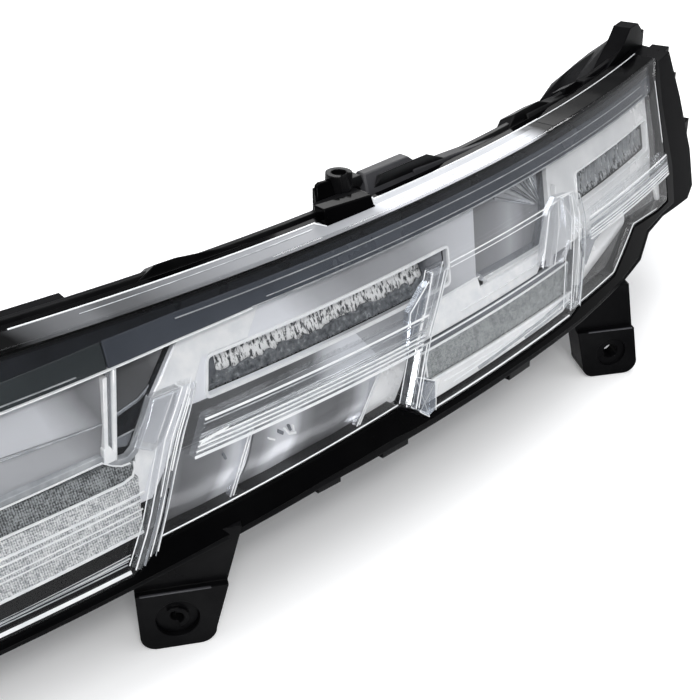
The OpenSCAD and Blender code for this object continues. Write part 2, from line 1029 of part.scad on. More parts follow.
module driver_cover() {
  t = 1.8;
  color(black)
    on_pad(driver_at)
      difference() {
        union() {
          translate([-driver_w / 2, 0, -driver_h / 2])
            cube([driver_w, flange_t, driver_h]);
          translate([-driver_w / 2 + 8, 0, -driver_h / 2])
            cube([driver_w - 16, driver_d, driver_h]);
          for (i = [-2:2])
            translate([i * 8 - 0.6, driver_d - 0.1, -driver_h / 2 + 4])
              cube([1.2, 1.1, driver_h - 8]);
        }
        translate([-driver_w / 2 + 8 + t, -1, -driver_h / 2 + t])
          cube([driver_w - 16 - 2 * t, driver_d + 1 - t, driver_h - 2 * t]);
        four_corners(driver_w, driver_h)
          clear_hole(flange_t);
      }
}

module cover_screws()
  on_pad(driver_at)
    four_corners(driver_w, driver_h)
      translate([0, flange_t, 0])
        mirror([0, 1, 0])
          screw(flange_t + rear_screw_len - 0.4);

module driver_board()
  color(green)
    on_pad(driver_at)
      difference() {
        translate([-driver_board_w / 2, standoff, -driver_board_h / 2])
          cube([driver_board_w, board_t, driver_board_h]);
        two_sides(driver_board_w / 2 - 4)
          rotate([-90, 0, 0])
            cylinder(r = 1.6, h = standoff + board_t + 1);
      }

module driver_parts()
  on_pad(driver_at)
    translate([0, standoff + board_t, 0]) {
      color("black")
        for (x = [-7, 1])
          translate([x, 0, 4])
            rotate([-90, 0, 0])
              cylinder(r = 3.2, h = 6);
      color([0.2, 0.2, 0.2])
        translate([6, 0, -6])
          cube([8, 5, 8]);
      color([0.1, 0.1, 0.1])
        translate([-12, 0, -8])
          cube([7, 1.4, 6]);
    }

// The connector's socket: flange, open shroud and a floor that the blades pass through
module connector_socket() {
  t = 1.8;
  color(black)
    on_pad(socket_at)
      difference() {
        union() {
          translate([-socket_w / 2 - 8, 0, -socket_h / 2 - 2])
            cube([socket_w + 16, flange_t, socket_h + 4]);
          translate([-socket_w / 2, 0, -socket_h / 2])
            cube([socket_w, socket_d, socket_h]);
          translate([-3, 4, socket_h / 2 - 0.1])
            cube([6, socket_d - 6, 1.6]);
        }
        translate([-socket_w / 2 + t, 3, -socket_h / 2 + t])
          cube([socket_w - 2 * t, socket_d, socket_h - 2 * t]);
        each_blade()
          translate([-blade[1] / 2 - 0.05, -1, -blade[0] / 2 - 0.05])
            cube([blade[1] + 0.1, 10, blade[0] + 0.1]);
        two_sides(socket_w / 2 + 4)
          clear_hole(flange_t);
      }
}

module connector_screws()
  on_pad(socket_at)
    two_sides(socket_w / 2 + 4)
      translate([0, flange_t, 0])
        mirror([0, 1, 0])
          screw(flange_t + rear_screw_len - 0.4);

module connector_pins()
  color("gold")
    on_pad(socket_at)
      each_blade()
        translate([-blade[1] / 2, -8, -blade[0] / 2])
          cube([blade[1], socket_d + 8 - 5, blade[0]]);

module vent_cap()
  color([0.08, 0.08, 0.08])
    at(vent_at[0])
      translate([0, rear_depth + 0.3, vent_at[1]])
        rotate([-90, 0, 0])
          difference() {
            union() {
              cylinder(r = vent_r, h = 5);
              translate([0, 0, 4.9])
                cylinder(r1 = vent_r, r2 = vent_r - 1.5, h = 1.6);
            }
            translate([0, 0, -1])
              cylinder(r = vent_r - 1.9, h = 5);
            for (i = [0:5])
              rotate(i * 60)
                translate([vent_r - 2.6, -0.8, -1])
                  cube([4, 1.6, 3]);
          }

// The quarter-turn clip in the middle leg: a disc with a bore and a hooked collar for the stud's wings
module leg_clip() {
  disc_y = 2.2;
  collar_y = 0.6;
  barrel_l = 13;
  disc_r = clip_socket_r - seat_play;
  color(black)
    at_leg(leg_places[1])
      rotate([90, 0, 0])
        mirror([0, 0, 1])
          difference() {
            union() {
              translate([0, 0, disc_y])
                cylinder(r = disc_r, h = clip_socket_deep - seat_play - disc_y);
              cylinder(r = clip_barrel_r, h = barrel_l);
            }
            // Cuts the barrel's front down to the collar
            translate([0, 0, -1])
              cylinder(r = disc_r, h = collar_y + 1);
            difference() {
              translate([0, 0, -1])
                cylinder(r = disc_r, h = disc_y + 1);
              // What is left standing: a hook round the bore and a tab beside it
              translate([0, 0, -2])
                linear_extrude(disc_y + 4) {
                  intersection() {
                    circle(r = clip_bore_r + 1.7);
                    polygon([[0, 0], [1.6, -9], [9, -9], [9, 9], [-1, 9]]);
                  }
                  polygon([[-3.4, 3.1], [0.6, 3.1], [0.6, 4.4], [-3.4, 4.4]]);
                }
            }
            translate([0, 0, -1])
              cylinder(r = clip_bore_r, h = barrel_l + 2);
          }
}

housing();
outer_lens();
lens_seal();
top_band();
bezel_left();
bezel();
pocket_panel();
pocket_reflector();
reflector_mid();
reflector_outer();
guide_left();
guide_right();
flute_mid();
flute_outer();
board_low_left();
board_mid();
board_low_right();
board_outer();
leds_low_left();
leds_mid();
leds_low_right();
leds_outer();
board_screws();
heat_sink();
sink_screws();
driver_board();
driver_parts();
driver_cover();
cover_screws();
connector_socket();
connector_screws();
connector_pins();
vent_cap();
leg_clip();
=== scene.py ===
import math
import random

import bmesh
import bpy
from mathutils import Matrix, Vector
from mathutils.geometry import tessellate_polygon


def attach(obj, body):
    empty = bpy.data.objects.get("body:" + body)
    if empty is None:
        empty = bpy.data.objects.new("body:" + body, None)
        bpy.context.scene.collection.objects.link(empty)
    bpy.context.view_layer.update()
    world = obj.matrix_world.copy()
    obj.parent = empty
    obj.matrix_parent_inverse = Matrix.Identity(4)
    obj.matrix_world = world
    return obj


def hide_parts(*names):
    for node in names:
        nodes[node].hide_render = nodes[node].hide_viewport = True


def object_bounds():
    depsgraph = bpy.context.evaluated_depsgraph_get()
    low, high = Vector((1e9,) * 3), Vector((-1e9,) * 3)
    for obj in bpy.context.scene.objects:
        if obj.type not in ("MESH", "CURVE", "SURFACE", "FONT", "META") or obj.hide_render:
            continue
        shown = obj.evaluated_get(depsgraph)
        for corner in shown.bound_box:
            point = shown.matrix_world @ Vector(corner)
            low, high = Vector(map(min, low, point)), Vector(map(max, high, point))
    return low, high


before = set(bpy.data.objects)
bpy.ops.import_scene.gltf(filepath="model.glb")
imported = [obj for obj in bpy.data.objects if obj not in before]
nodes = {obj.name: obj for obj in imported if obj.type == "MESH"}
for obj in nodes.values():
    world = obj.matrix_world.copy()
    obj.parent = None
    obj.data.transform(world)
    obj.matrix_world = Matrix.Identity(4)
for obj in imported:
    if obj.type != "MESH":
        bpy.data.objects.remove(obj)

cad_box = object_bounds()

# The lamp's sweep, in mm. A place on it is (u, z, k): length along the sweep from the boss,
# height, and depth behind the lens's face.
SWEEP_R = 896.0
SWEEP_Y = 872.5
LENS_TOP = -9.4
SLOPE = math.tan(math.radians(22))
MM = 0.001

# The camera of the photo, in metres
CAMERA_AT = (-0.3308, -0.3254, 0.1897)
CAMERA_LOOKS = (0.623, 0.6016, -0.5)
CAMERA_LENS_MM = 67.11

# Spacing of the cross-sections of a straight bar
BAR_STEP = 6.0


def clamp(x):
    return min(1.0, max(0.0, x))


def face_d(z):
    """How far the raked face stands forward of its top edge at a height."""
    return (LENS_TOP - z) * SLOPE


def place(u, z, k):
    """The point of the part's frame, in mm, at a place on the sweep."""
    a = u / SWEEP_R
    r = SWEEP_R + face_d(z) - k
    return Vector((r * math.sin(a), SWEEP_Y - r * math.cos(a), z))


# ---------------------------------------------------------------- materials


def linked(name, data):
    obj = bpy.data.objects.new(name, data)
    bpy.context.scene.collection.objects.link(obj)
    return obj


def new_material(name):
    mat = bpy.data.materials.new(name)
    mat.use_nodes = True
    tree = mat.node_tree
    bsdf = tree.nodes["Principled BSDF"]
    return mat, tree, bsdf


def add(tree, kind):
    return tree.nodes.new("ShaderNode" + kind)


def put(node, name, value):
    """Sets an input of a node, or links another node's output to it."""
    if isinstance(value, bpy.types.NodeSocket):
        node.id_data.links.new(value, node.inputs[name])
    else:
        node.inputs[name].default_value = value


def axes(tree, vec):
    """The outputs X, Y and Z of a vector."""
    sep = add(tree, "SeparateXYZ")
    put(sep, 0, vec)
    return sep.outputs


def coords(tree, scale=(1, 1, 1)):
    tc = add(tree, "TexCoord")
    mp = add(tree, "Mapping")
    put(mp, "Scale", scale)
    put(mp, "Vector", tc.outputs["Object"])
    return mp.outputs["Vector"]


def noise(tree, vec, scale, detail=4, rough=0.55):
    n = add(tree, "TexNoise")
    put(n, "Scale", scale)
    put(n, "Detail", detail)
    put(n, "Roughness", rough)
    put(n, "Vector", vec)
    return n.outputs["Fac"]


def ramp(tree, fac, stops):
    r = add(tree, "ValToRGB")
    els = r.color_ramp.elements
    while len(els) > 1:
        els.remove(els[-1])
    for i, (pos, col) in enumerate(stops):
        e = els[0] if i == 0 else els.new(pos)
        e.position = pos
        if not hasattr(col, "__len__"):
            col = (col, col, col)
        e.color = (*col, 1)
    put(r, "Fac", fac)
    return r.outputs["Color"]


def bump(tree, bsdf, height, strength, distance):
    b = add(tree, "Bump")
    put(b, "Strength", strength)
    put(b, "Distance", distance)
    put(b, "Height", height)
    put(bsdf, "Normal", b.outputs["Normal"])
    return b


def surface(name, lo, hi, metallic, rough, grain, grain_mm, blotch=60, coat=0.0, strength=0.35, span=(0.35, 0.65),
            specular=0.5, edge_mm=0.0):
    """A solid finish: colour blotches, roughness variation and a fine grain."""
    mat, tree, bsdf = new_material(name)
    vec = coords(tree)
    wide = noise(tree, vec, blotch, 5)
    fine = noise(tree, vec, grain, 6)
    put(bsdf, "Base Color", ramp(tree, wide, [(span[0], lo), (span[1], hi)]))
    put(bsdf, "Roughness", ramp(tree, wide, [(0.3, rough[0]), (0.7, rough[1])]))
    put(bsdf, "Metallic", metallic)
    put(bsdf, "Specular IOR Level", specular)
    if coat:
        put(bsdf, "Coat Weight", coat)
        put(bsdf, "Coat Roughness", 0.05)
    normal = bump(tree, bsdf, fine, strength, grain_mm * MM)
    if edge_mm:
        round_edge = add(tree, "Bevel")
        round_edge.samples = 4
        put(round_edge, "Radius", edge_mm * MM)
        put(normal, "Normal", round_edge.outputs["Normal"])
    return mat


def math_node(tree, kind, a, b=None, c=None, clamp=False):
    n = add(tree, "Math")
    n.operation = kind
    n.use_clamp = clamp
    for i, v in enumerate((a, b, c)):
        if v is not None:
            put(n, i, v)
    return n.outputs[0]


def clear(name, base, edge, tint=(1, 1, 1), rough=0.03, power=5.0, streak=0.0):
    """Clear moulding: it reflects more the more it turns from the eye, and shows what lies behind."""
    mat, tree, bsdf = new_material(name)
    put(bsdf, "Base Color", (*tint, 1))
    put(bsdf, "Metallic", 1.0)
    put(bsdf, "Roughness", rough)
    lw = add(tree, "LayerWeight")
    put(lw, "Blend", 0.5)
    alpha = math_node(tree, "MULTIPLY_ADD", math_node(tree, "POWER", lw.outputs["Facing"], power), edge, base, True)
    vec = coords(tree)
    if streak:
        alpha = math_node(tree, "MULTIPLY_ADD", noise(tree, vec, 45, 3), streak, alpha, True)
    put(bsdf, "Alpha", alpha)
    bump(tree, bsdf, noise(tree, vec, 160, 2), 0.05, 0.05 * MM)
    return mat


def streaked(name, lo, hi, metallic, rough, density, span):
    """A finish drawn out in one direction, such as flutes: density is lines per metre along x, y and z."""
    mat, tree, bsdf = new_material(name)
    fac = noise(tree, coords(tree, density), 1.0, 4, 0.6)
    put(bsdf, "Base Color", ramp(tree, fac, [(span[0], lo), (span[1], hi)]))
    put(bsdf, "Roughness", ramp(tree, fac, [(0.3, rough), (0.7, rough + 0.12)]))
    put(bsdf, "Metallic", metallic)
    bump(tree, bsdf, fac, 0.2, 0.06 * MM)
    return mat


def shaded(name, stops, metallic, rough, drift_mm, slant=0.0, specular=0.3):
    """A coat painted with light and shade, its brightness changing along the lamp: stops are (x in mm, level),
    softened by slow noise, and slant leans the pattern."""
    mat, tree, bsdf = new_material(name)
    vec = coords(tree)
    pos = axes(tree, vec)
    lo, hi = stops[0][0], stops[-1][0]
    drift = math_node(tree, "SUBTRACT", noise(tree, vec, 26, 4, 0.6), 0.5)
    lean = math_node(tree, "MULTIPLY_ADD", pos["Z"], -slant, pos["X"])
    at = math_node(tree, "MULTIPLY_ADD", drift, drift_mm * 2 * MM, lean)
    at = math_node(tree, "DIVIDE", math_node(tree, "SUBTRACT", at, lo * MM), (hi - lo) * MM)
    colour = ramp(tree, at, [((x - lo) / (hi - lo), (v * 0.98, v, v * 1.05)) for x, v in stops])
    fine = noise(tree, vec, 1500, 4)
    put(bsdf, "Base Color", colour)
    put(bsdf, "Roughness", ramp(tree, drift, [(0.3, rough), (0.7, rough + 0.1)]))
    put(bsdf, "Metallic", metallic)
    put(bsdf, "Specular IOR Level", specular)
    bump(tree, bsdf, fine, 0.2, 0.01 * MM)
    return mat


def woven(name, lo, hi, pitch_x, pitch_z, metallic, rough, spread, clouds, cloud):
    """Rows of tiny prisms: dots on a grid of two pitches in mm, whose brightness wanders as clouds do."""
    mat, tree, bsdf = new_material(name)
    vec = coords(tree)
    at = axes(tree, vec)
    turn = 2 * math.pi / MM
    wave_x = math_node(tree, "SINE", math_node(tree, "MULTIPLY", at["X"], turn / pitch_x))
    wave_z = math_node(tree, "SINE", math_node(tree, "MULTIPLY", at["Z"], turn / pitch_z))
    dots = math_node(tree, "MULTIPLY_ADD", wave_x, 0.5, math_node(tree, "MULTIPLY", wave_z, 0.3))
    wander = math_node(tree, "SUBTRACT", noise(tree, vec, clouds, 5, 0.65), 0.5)
    speck = math_node(tree, "SUBTRACT", noise(tree, vec, 1500, 2, 0.5), 0.5)
    total = math_node(tree, "MULTIPLY_ADD", dots, 0.28 * spread, 0.5)
    total = math_node(tree, "MULTIPLY_ADD", wander, cloud, total)
    total = math_node(tree, "MULTIPLY_ADD", speck, 1.4 * spread, total)
    put(bsdf, "Base Color", ramp(tree, total, [(0.25, lo), (0.75, hi)]))
    put(bsdf, "Metallic", metallic)
    put(bsdf, "Roughness", rough)
    bump(tree, bsdf, dots, 0.6, 0.12 * MM)
    return mat


M = {
    "moulded": surface(
        "moulded_black", (0.0025, 0.0025, 0.003), (0.006, 0.006, 0.0065), 0, (0.26, 0.4), 1400, 0.05, specular=0.09,
        edge_mm=0.8),
    # A grey copy of the black moulding for the roof faces that meet the light: painted sheen
    "moulded_black_painted_sheen": surface(
        "moulded_black_painted_sheen", (0.026, 0.026, 0.029), (0.034, 0.034, 0.037), 0, (0.3, 0.4), 1400, 0.04, specular=0.2),
    "gloss_black": surface(
        "gloss_black_rim", (0.0008, 0.0008, 0.001), (0.0018, 0.0018, 0.002), 0, (0.05, 0.12), 260, 0.02, 35,
        strength=0.1, specular=0.03),
    # A grey strip on the black legs' folds: painted glint
    "fold": surface(
        "moulded_painted_glint", (0.045, 0.045, 0.05), (0.07, 0.07, 0.078), 0, (0.2, 0.3), 1400, 0.02, specular=0.4),
    "skin": clear("clear_skin", 0.025, 0.9, streak=0.03),
    "crystal": clear("crystal_clear", 0.02, 0.42, (0.94, 0.97, 1.0), 0.05, 3.0, streak=0.16),
    "plate": clear("crystal_plate", 0.10, 0.4, (0.86, 0.88, 0.92), 0.12, 2.5, streak=0.3),
    "facet": clear("crystal_facet", 0.22, 0.4, (0.52, 0.56, 0.62), 0.12, 2.0, streak=0.4),
    # line: white for painted highlights and reflections on edges, facets, the pillar and the bezel; line_grey: grey
    # for softer painted highlights, and for painted shade on the pale foot panel
    "line": surface(
        "bright_edge_painted_highlight", (0.84, 0.86, 0.88), (0.96, 0.965, 0.97), 0.1, (0.10, 0.2), 700, 0.03, 200, coat=0.5),
    "line_grey": surface("soft_edge_painted_light", (0.36, 0.38, 0.40), (0.58, 0.60, 0.62), 0.4, (0.12, 0.22), 700, 0.03, 150),
    # satin and satin_low: the inboard panel's silver paint with painted light and shade along it, darkest beside the
    # pillar; satin_low is its darker, shaded copy for the lower half
    "satin": shaded(
        "satin_silver_painted_light", [(-235, 0.70), (-190, 0.68), (-172, 0.66), (-160, 0.66), (-151, 0.42), (-144, 0.20),
        (-138, 0.26), (-133, 0.5), (-126, 0.6)], 0.2, 0.3, 6, slant=-0.3),
    "satin_low": shaded(
        "satin_silver_shade", [(-235, 0.40), (-180, 0.42), (-160, 0.40), (-150, 0.24), (-142, 0.16), (-137, 0.3),
        (-132, 0.5), (-126, 0.5)], 0.2, 0.3, 6, slant=-0.3),
    # The top strip's painted reflection: black at both ends, grey inboard and pale outboard of the boss
    "strip": shaded(
        "strip_painted_reflection", [(-231, 0.001), (-151, 0.001), (-146, 0.05), (-136, 0.12), (-126, 0.15), (-118, 0.09),
        (-108, 0.10), (-92, 0.18), (-66, 0.28), (-30, 0.32), (-2, 0.38), (6, 0.76), (98, 0.74), (108, 0.2),
        (113, 0.001), (120, 0.001)], 0.0, 0.25, 4, specular=0.06),
    # A darker copy for the strip's upper part: painted shade
    "strip_upper": shaded(
        "strip_upper_painted_shade", [(0, 0.5), (30, 0.58), (60, 0.5), (96, 0.56), (106, 0.12)], 0.0, 0.25, 4, specular=0.06),
    # The inboard pocket floor's painted light: dark at its inboard side, pale towards the outboard side, in soft
    # clouds
    "cloud": shaded(
        "pocket_painted_light", [(-132, 0.10), (-124, 0.12), (-119, 0.22), (-113, 0.45), (-107, 0.62), (-98, 0.85)], 0.1, 0.2,
        9, slant=-0.5),
    # A pale copy of the bezel's silver for the outboard bezel and reflector panels: painted reflection
    "white": surface(
        "bright_satin_painted_reflection", (0.72, 0.735, 0.75), (0.93, 0.935, 0.94), 0.2, (0.2, 0.32), 1400, 0.02, 22, span=(0.3, 0.6)),
    # The middle bezel's painted reflection: pale at its inboard end, darker in the middle, pale again outboard
    "white_soft": shaded(
        "pale_satin_painted_reflection", [(-130, 0.9), (-98, 0.88), (-74, 0.86), (-58, 0.5), (-38, 0.36), (-10, 0.42), (8, 0.6),
        (30, 0.72), (48, 0.8), (60, 0.84)], 0.2, 0.24, 10, slant=-0.7),
    "chrome": surface("bright_chrome_coat", (0.66, 0.68, 0.72), (0.88, 0.89, 0.91), 1.0, (0.04, 0.12), 500, 0.02, 22),
    "steel": surface("grey_chrome_coat", (0.30, 0.315, 0.34), (0.50, 0.52, 0.55), 0.75, (0.14, 0.3), 500, 0.02, 40),
    "smoke": surface(
        "smoke_chrome", (0.15, 0.162, 0.18), (0.24, 0.255, 0.28), 0.3, (0.2, 0.3), 500, 0.01, 14, specular=0.3),
    # The right pocket's tray: painted light in bands, brightest near the rays' focus
    "tray": shaded(
        "tray_painted_light", [(46, 0.26), (60, 0.34), (76, 0.26), (92, 0.34), (104, 0.5), (116, 0.3)], 0.2, 0.24, 5,
        slant=0.5),
    # Painted shade behind the middle bar, with a painted highlight at its outboard end
    "under_bar": shaded(
        "under_bar_painted_shade", [(-125, 0.20), (-104, 0.15), (-84, 0.10), (-62, 0.14), (-40, 0.11), (-26, 0.2), (-20, 0.6),
        (-12, 0.85)], 0.3, 0.2, 5, slant=0.4),
    # The lower reflectors' painted reflections: dark and pale bands that lean with the reflectors' ribs
    "mirror_left": shaded(
        "mirror_left_painted_reflection", [(-60, 0.35), (-54, 0.2), (-46, 0.26), (-38, 0.34), (-33, 0.8), (-27, 0.92), (-20, 0.7)],
        0.4, 0.16, 3, slant=0.85),
    "mirror_mid": shaded(
        "mirror_mid_painted_reflection", [(-26, 0.3), (-20, 0.4), (-14, 0.86), (-7, 0.9), (-3, 0.4), (4, 0.24), (14, 0.2), (22, 0.3),
        (28, 0.7), (36, 0.85)], 0.4, 0.16, 3, slant=0.85),
    "band": surface(
        "dark_band_coat", (0.045, 0.052, 0.066), (0.072, 0.081, 0.10), 0.2, (0.2, 0.3), 500, 0.02, 12, specular=0.3),
    "band_left": surface(
        "dark_band_green", (0.028, 0.034, 0.037), (0.044, 0.052, 0.056), 0.2, (0.2, 0.3), 500, 0.02, 12,
        specular=0.3),
    "pocket": surface(
        "pocket_black", (0.05, 0.055, 0.066), (0.36, 0.37, 0.40), 0.2, (0.10, 0.3), 500, 0.02, 60, span=(0.40, 0.74),
        specular=0.3),
    "black": surface(
        "inner_black", (0.004, 0.005, 0.007), (0.012, 0.014, 0.018), 0, (0.2, 0.4), 500, 0.01, 30, specular=0.12),
    "mesh": woven("ribbed_optic", (0.03, 0.034, 0.036), (0.34, 0.36, 0.37), 0.85, 0.9, 0.2, 0.3, 1.0, 120, 1.0),
    "mottle": woven("mottled_optic", (0.20, 0.215, 0.225), (0.78, 0.79, 0.80), 0.8, 0.8, 0.15, 0.25, 0.8, 420, 0.8),
    "texture": woven("textured_optic", (0.16, 0.175, 0.18), (0.44, 0.46, 0.465), 0.7, 0.7, 0.2, 0.3, 0.7, 300, 0.9),
    "flute": streaked(
        "fluted_optic", (0.05, 0.055, 0.06), (0.95, 0.955, 0.96), 0.1, 0.12, (1000, 1000, 12), (0.42, 0.52)),
    "flute_dark": streaked(
        "fluted_optic_dark", (0.04, 0.045, 0.05), (0.62, 0.64, 0.66), 0.2, 0.14, (900, 900, 30), (0.44, 0.58)),
    "foot": surface("fine_optic", (0.05, 0.055, 0.065), (0.22, 0.235, 0.25), 0.3, (0.16, 0.3), 1800, 0.06, 500),
    "board": surface(
        "board_mask", (0.012, 0.075, 0.032), (0.02, 0.11, 0.05), 0, (0.3, 0.4), 900, 0.02, 120, coat=0.3),
    "zinc": surface("zinc_screw", (0.45, 0.46, 0.47), (0.62, 0.63, 0.64), 1.0, (0.25, 0.4), 1200, 0.03, 300),
    "cast": surface("cast_alloy", (0.38, 0.385, 0.39), (0.52, 0.525, 0.53), 0.9, (0.42, 0.58), 900, 0.1, 80),
    "brass": surface("plated_brass", (0.60, 0.42, 0.16), (0.75, 0.55, 0.24), 1.0, (0.2, 0.3), 900, 0.02, 200),
    "led": surface("led_phosphor", (0.78, 0.70, 0.32), (0.88, 0.80, 0.42), 0, (0.4, 0.5), 900, 0.02, 300),
}


def roof_sheen(mat):
    """More sheen on the housing's roof, and hardly any at the outboard end."""
    tree = mat.node_tree
    bsdf = tree.nodes["Principled BSDF"]
    at = axes(tree, coords(tree))
    up = math_node(tree, "MULTIPLY_ADD", at["Z"], 125.0, 3.4, True)
    side = math_node(tree, "MULTIPLY_ADD", at["X"], 40.0, 0.0, True)
    level = math_node(tree, "MULTIPLY", up, math_node(tree, "MULTIPLY_ADD", side, 0.1, 0.05))
    level = math_node(tree, "ADD", level, 0.06)
    inboard = math_node(tree, "MULTIPLY_ADD", at["X"], -30.0, 4.5, True)
    put(bsdf, "Specular IOR Level", math_node(tree, "MULTIPLY_ADD", level, inboard, 0.008))


roof_sheen(M["moulded"])

BODY, LENS, OPTIC = "black_plastic", "clear_lens", "clear_optic"
SILVER, CHROME = "satin_silver", "bright_chrome"

# ---------------------------------------------------------------- mesh tools


def rounded(points, r, steps=4):
    """The outline with its corners rounded to about r."""
    out = []
    n = len(points)
    for i in range(n):
        p = Vector(points[i])
        a = Vector(points[i - 1]) - p
        b = Vector(points[(i + 1) % n]) - p
        ta = min(r, a.length * 0.45)
        tb = min(r, b.length * 0.45)
        p0 = p + a.normalized() * ta
        p2 = p + b.normalized() * tb
        for j in range(steps + 1):
            t = j / steps
            q = p0 * (1 - t) ** 2 + p * 2 * t * (1 - t) + p2 * t * t
            out.append((q.x, q.y))
    return out


def area(points):
    return sum(points[i - 1][0] * points[i][1] - points[i][0] * points[i - 1][1] for i in range(len(points))) / 2


def inset(points, t):
    """The outline moved inward by t."""
    n = len(points)
    sign = 1 if area(points) > 0 else -1
    out = []
    for i in range(n):
        p = Vector(points[i])
        a = (p - Vector(points[i - 1])).normalized()
        b = (Vector(points[(i + 1) % n]) - p).normalized()
        na = Vector((-a.y, a.x)) * sign
        nb = Vector((-b.y, b.x)) * sign
        q = p + (na + nb) * (t / max(0.3, 1 + na.dot(nb)))
        out.append((q.x, q.y))
    return out


def shift(points, du, dz=0):
    return [(p[0] + du, p[1] + dz) for p in points]


def face(bm, verts):
    """Adds a face unless it is there already or has no area."""
    if len(set(verts)) == len(verts) and bm.faces.get(verts) is None:
        bm.faces.new(verts)


def bridge(bm, a, b):
    """A band of faces between two rings that have the same number of vertices."""
    n = len(a)
    for i in range(n):
        j = (i + 1) % n
        bm.faces.new([a[i], a[j], b[j], b[i]])


def cap(bm, ring):
    """Fills a ring that is flat in depth."""
    for t in tessellate_polygon([[Vector((v.co.x, v.co.z, 0)) for v in ring]]):
        face(bm, [ring[i] for i in t])


def fill(bm, loops, make):
    """Two flat caps and walls over outlines with holes; make(p, side) gives the vertex place."""
    flat = [p for loop in loops for p in loop]
    lo = [bm.verts.new(make(p, 0)) for p in flat]
    hi = [bm.verts.new(make(p, 1)) for p in flat]
    tris = tessellate_polygon([[Vector((p[0], p[1], 0)) for p in loop] for loop in loops])
    for t in tris:
        for side in (lo, hi):
            face(bm, [side[i] for i in t])
    at = 0
    for loop in loops:
        end = at + len(loop)
        bridge(bm, lo[at:end], hi[at:end])
        at = end


def piece(name, bm, mat, slot, replaces=(), bevel=0.25, sharp=30, step=7.0):
    """Cuts a flat-laid mesh at stations, bends it round the sweep and makes it a piece of the lamp."""
    bmesh.ops.remove_doubles(bm, verts=bm.verts, dist=1e-4)
    bmesh.ops.dissolve_limit(bm, angle_limit=0.002, verts=bm.verts, edges=bm.edges)
    if step:
        us = [v.co.x for v in bm.verts]
        u = math.ceil(min(us) / step) * step
        while u < max(us):
            geom = bm.verts[:] + bm.edges[:] + bm.faces[:]
            bmesh.ops.bisect_plane(bm, geom=geom, plane_co=(u, 0, 0), plane_no=(1, 0, 0), dist=1e-4)
            u += step
    bend(bm)
    mesh_piece(name, closed_mesh(name, bm), mat, replaces, bevel, sharp)


def bend(bm):
    """Bends a flat-laid mesh round the sweep."""
    for v in bm.verts:
        v.co = place(v.co.x, v.co.z, v.co.y) * MM


def closed_mesh(name, bm):
    """The finished mesh, its faces turned outward."""
    bmesh.ops.recalc_face_normals(bm, faces=bm.faces)
    me = bpy.data.meshes.new(name)
    bm.to_mesh(me)
    bm.free()
    return me


def mesh_piece(name, me, mat, replaces=(), bevel=0.25, sharp=30):
    """Makes a mesh a piece of the lamp: its finish, its edges, what it rides and what it replaces."""
    obj = linked(name, me)
    me.materials.append(M[mat])
    me.shade_smooth()
    me.set_sharp_from_angle(angle=math.radians(sharp))
    if bevel:
        mod = obj.modifiers.new("edge", "BEVEL")
        mod.width = bevel * MM
        mod.segments = 2
        mod.limit_method = "ANGLE"
        mod.angle_limit = math.radians(35)
        mod.harden_normals = False
    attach(obj, "root")
    if replaces:
        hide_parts(*replaces)


def prism(name, outline, k0, k1, mat, slot, holes=(), **more):
    """An outline in (u, z), from depth k0 to k1."""
    bm = bmesh.new()
    fill(bm, [outline] + list(holes), lambda p, side: (p[0], k1 if side else k0, p[1]))
    piece(name, bm, mat, slot, **more)


def plank(name, outline, z0, z1, mat, slot, **more):
    """An outline in (u, k), from height z0 to z1."""
    bm = bmesh.new()
    fill(bm, [outline], lambda p, side: (p[0], p[1], z1 if side else z0))
    piece(name, bm, mat, slot, **more)


def bar(name, profile, u0, u1, mat, slot, slant0=0.0, slant1=0.0, mid_z=None, **more):
    """A section in (z, k) run from u0 to u1, its ends leaning by slant mm of u per mm of height."""
    bm = bmesh.new()
    if mid_z is None:
        mid_z = sum(p[0] for p in profile) / len(profile)
    n = max(2, int(abs(u1 - u0) / BAR_STEP))
    rings = []
    for i in range(n + 1):
        ring = []
        for z, k in profile:
            a = u0 + slant0 * (z - mid_z)
            b = u1 + slant1 * (z - mid_z)
            ring.append(bm.verts.new((a + (b - a) * (i / n), k, z)))
        rings.append(ring)
    for a, b in zip(rings, rings[1:]):
        bridge(bm, a, b)
    bm.faces.new(rings[0])
    bm.faces.new(rings[-1])
    piece(name, bm, mat, slot, step=0, **more)


def loft(name, layers, mat, slot, **more):
    """Outlines of equal length at rising depths, capped at both ends: [(outline, k), ...]."""
    bm = bmesh.new()
    rings = [[bm.verts.new((p[0], k, p[1])) for p in outline] for outline, k in layers]
    for a, b in zip(rings, rings[1:]):
        bridge(bm, a, b)
    cap(bm, rings[0])
    cap(bm, rings[-1])
    piece(name, bm, mat, slot, **more)


def ribbon_outline(path, width):
    """A closed outline of one width along a path in (u, z)."""
    left, right = [], []
    for i, p in enumerate(path):
        p = Vector(p)
        a = (p - Vector(path[i - 1])).normalized() if i else None
        b = (Vector(path[i + 1]) - p).normalized() if i < len(path) - 1 else None
        a = a or b
        b = b or a
        na, nb = Vector((-a.y, a.x)), Vector((-b.y, b.x))
        off = (na + nb) * (width / 2 / max(0.4, 1 + na.dot(nb)))
        left.append(tuple(p + off))
        right.append(tuple(p - off))
    return left + right[::-1]


def join_outlines(name, outlines, k0, k1, mat, slot, **more):
    """Several separate outlines as one piece."""
    bm = bmesh.new()
    for outline in outlines:
        fill(bm, [outline], lambda p, side: (p[0], k1 if side else k0, p[1]))
    piece(name, bm, mat, slot, **more)


def lines(name, rows, k0, k1, mat, slot, **more):
    """Several ribbons as one piece: rows are (path, width)."""
    join_outlines(name, [ribbon_outline(path, width) for path, width in rows], k0, k1, mat, slot, **more)


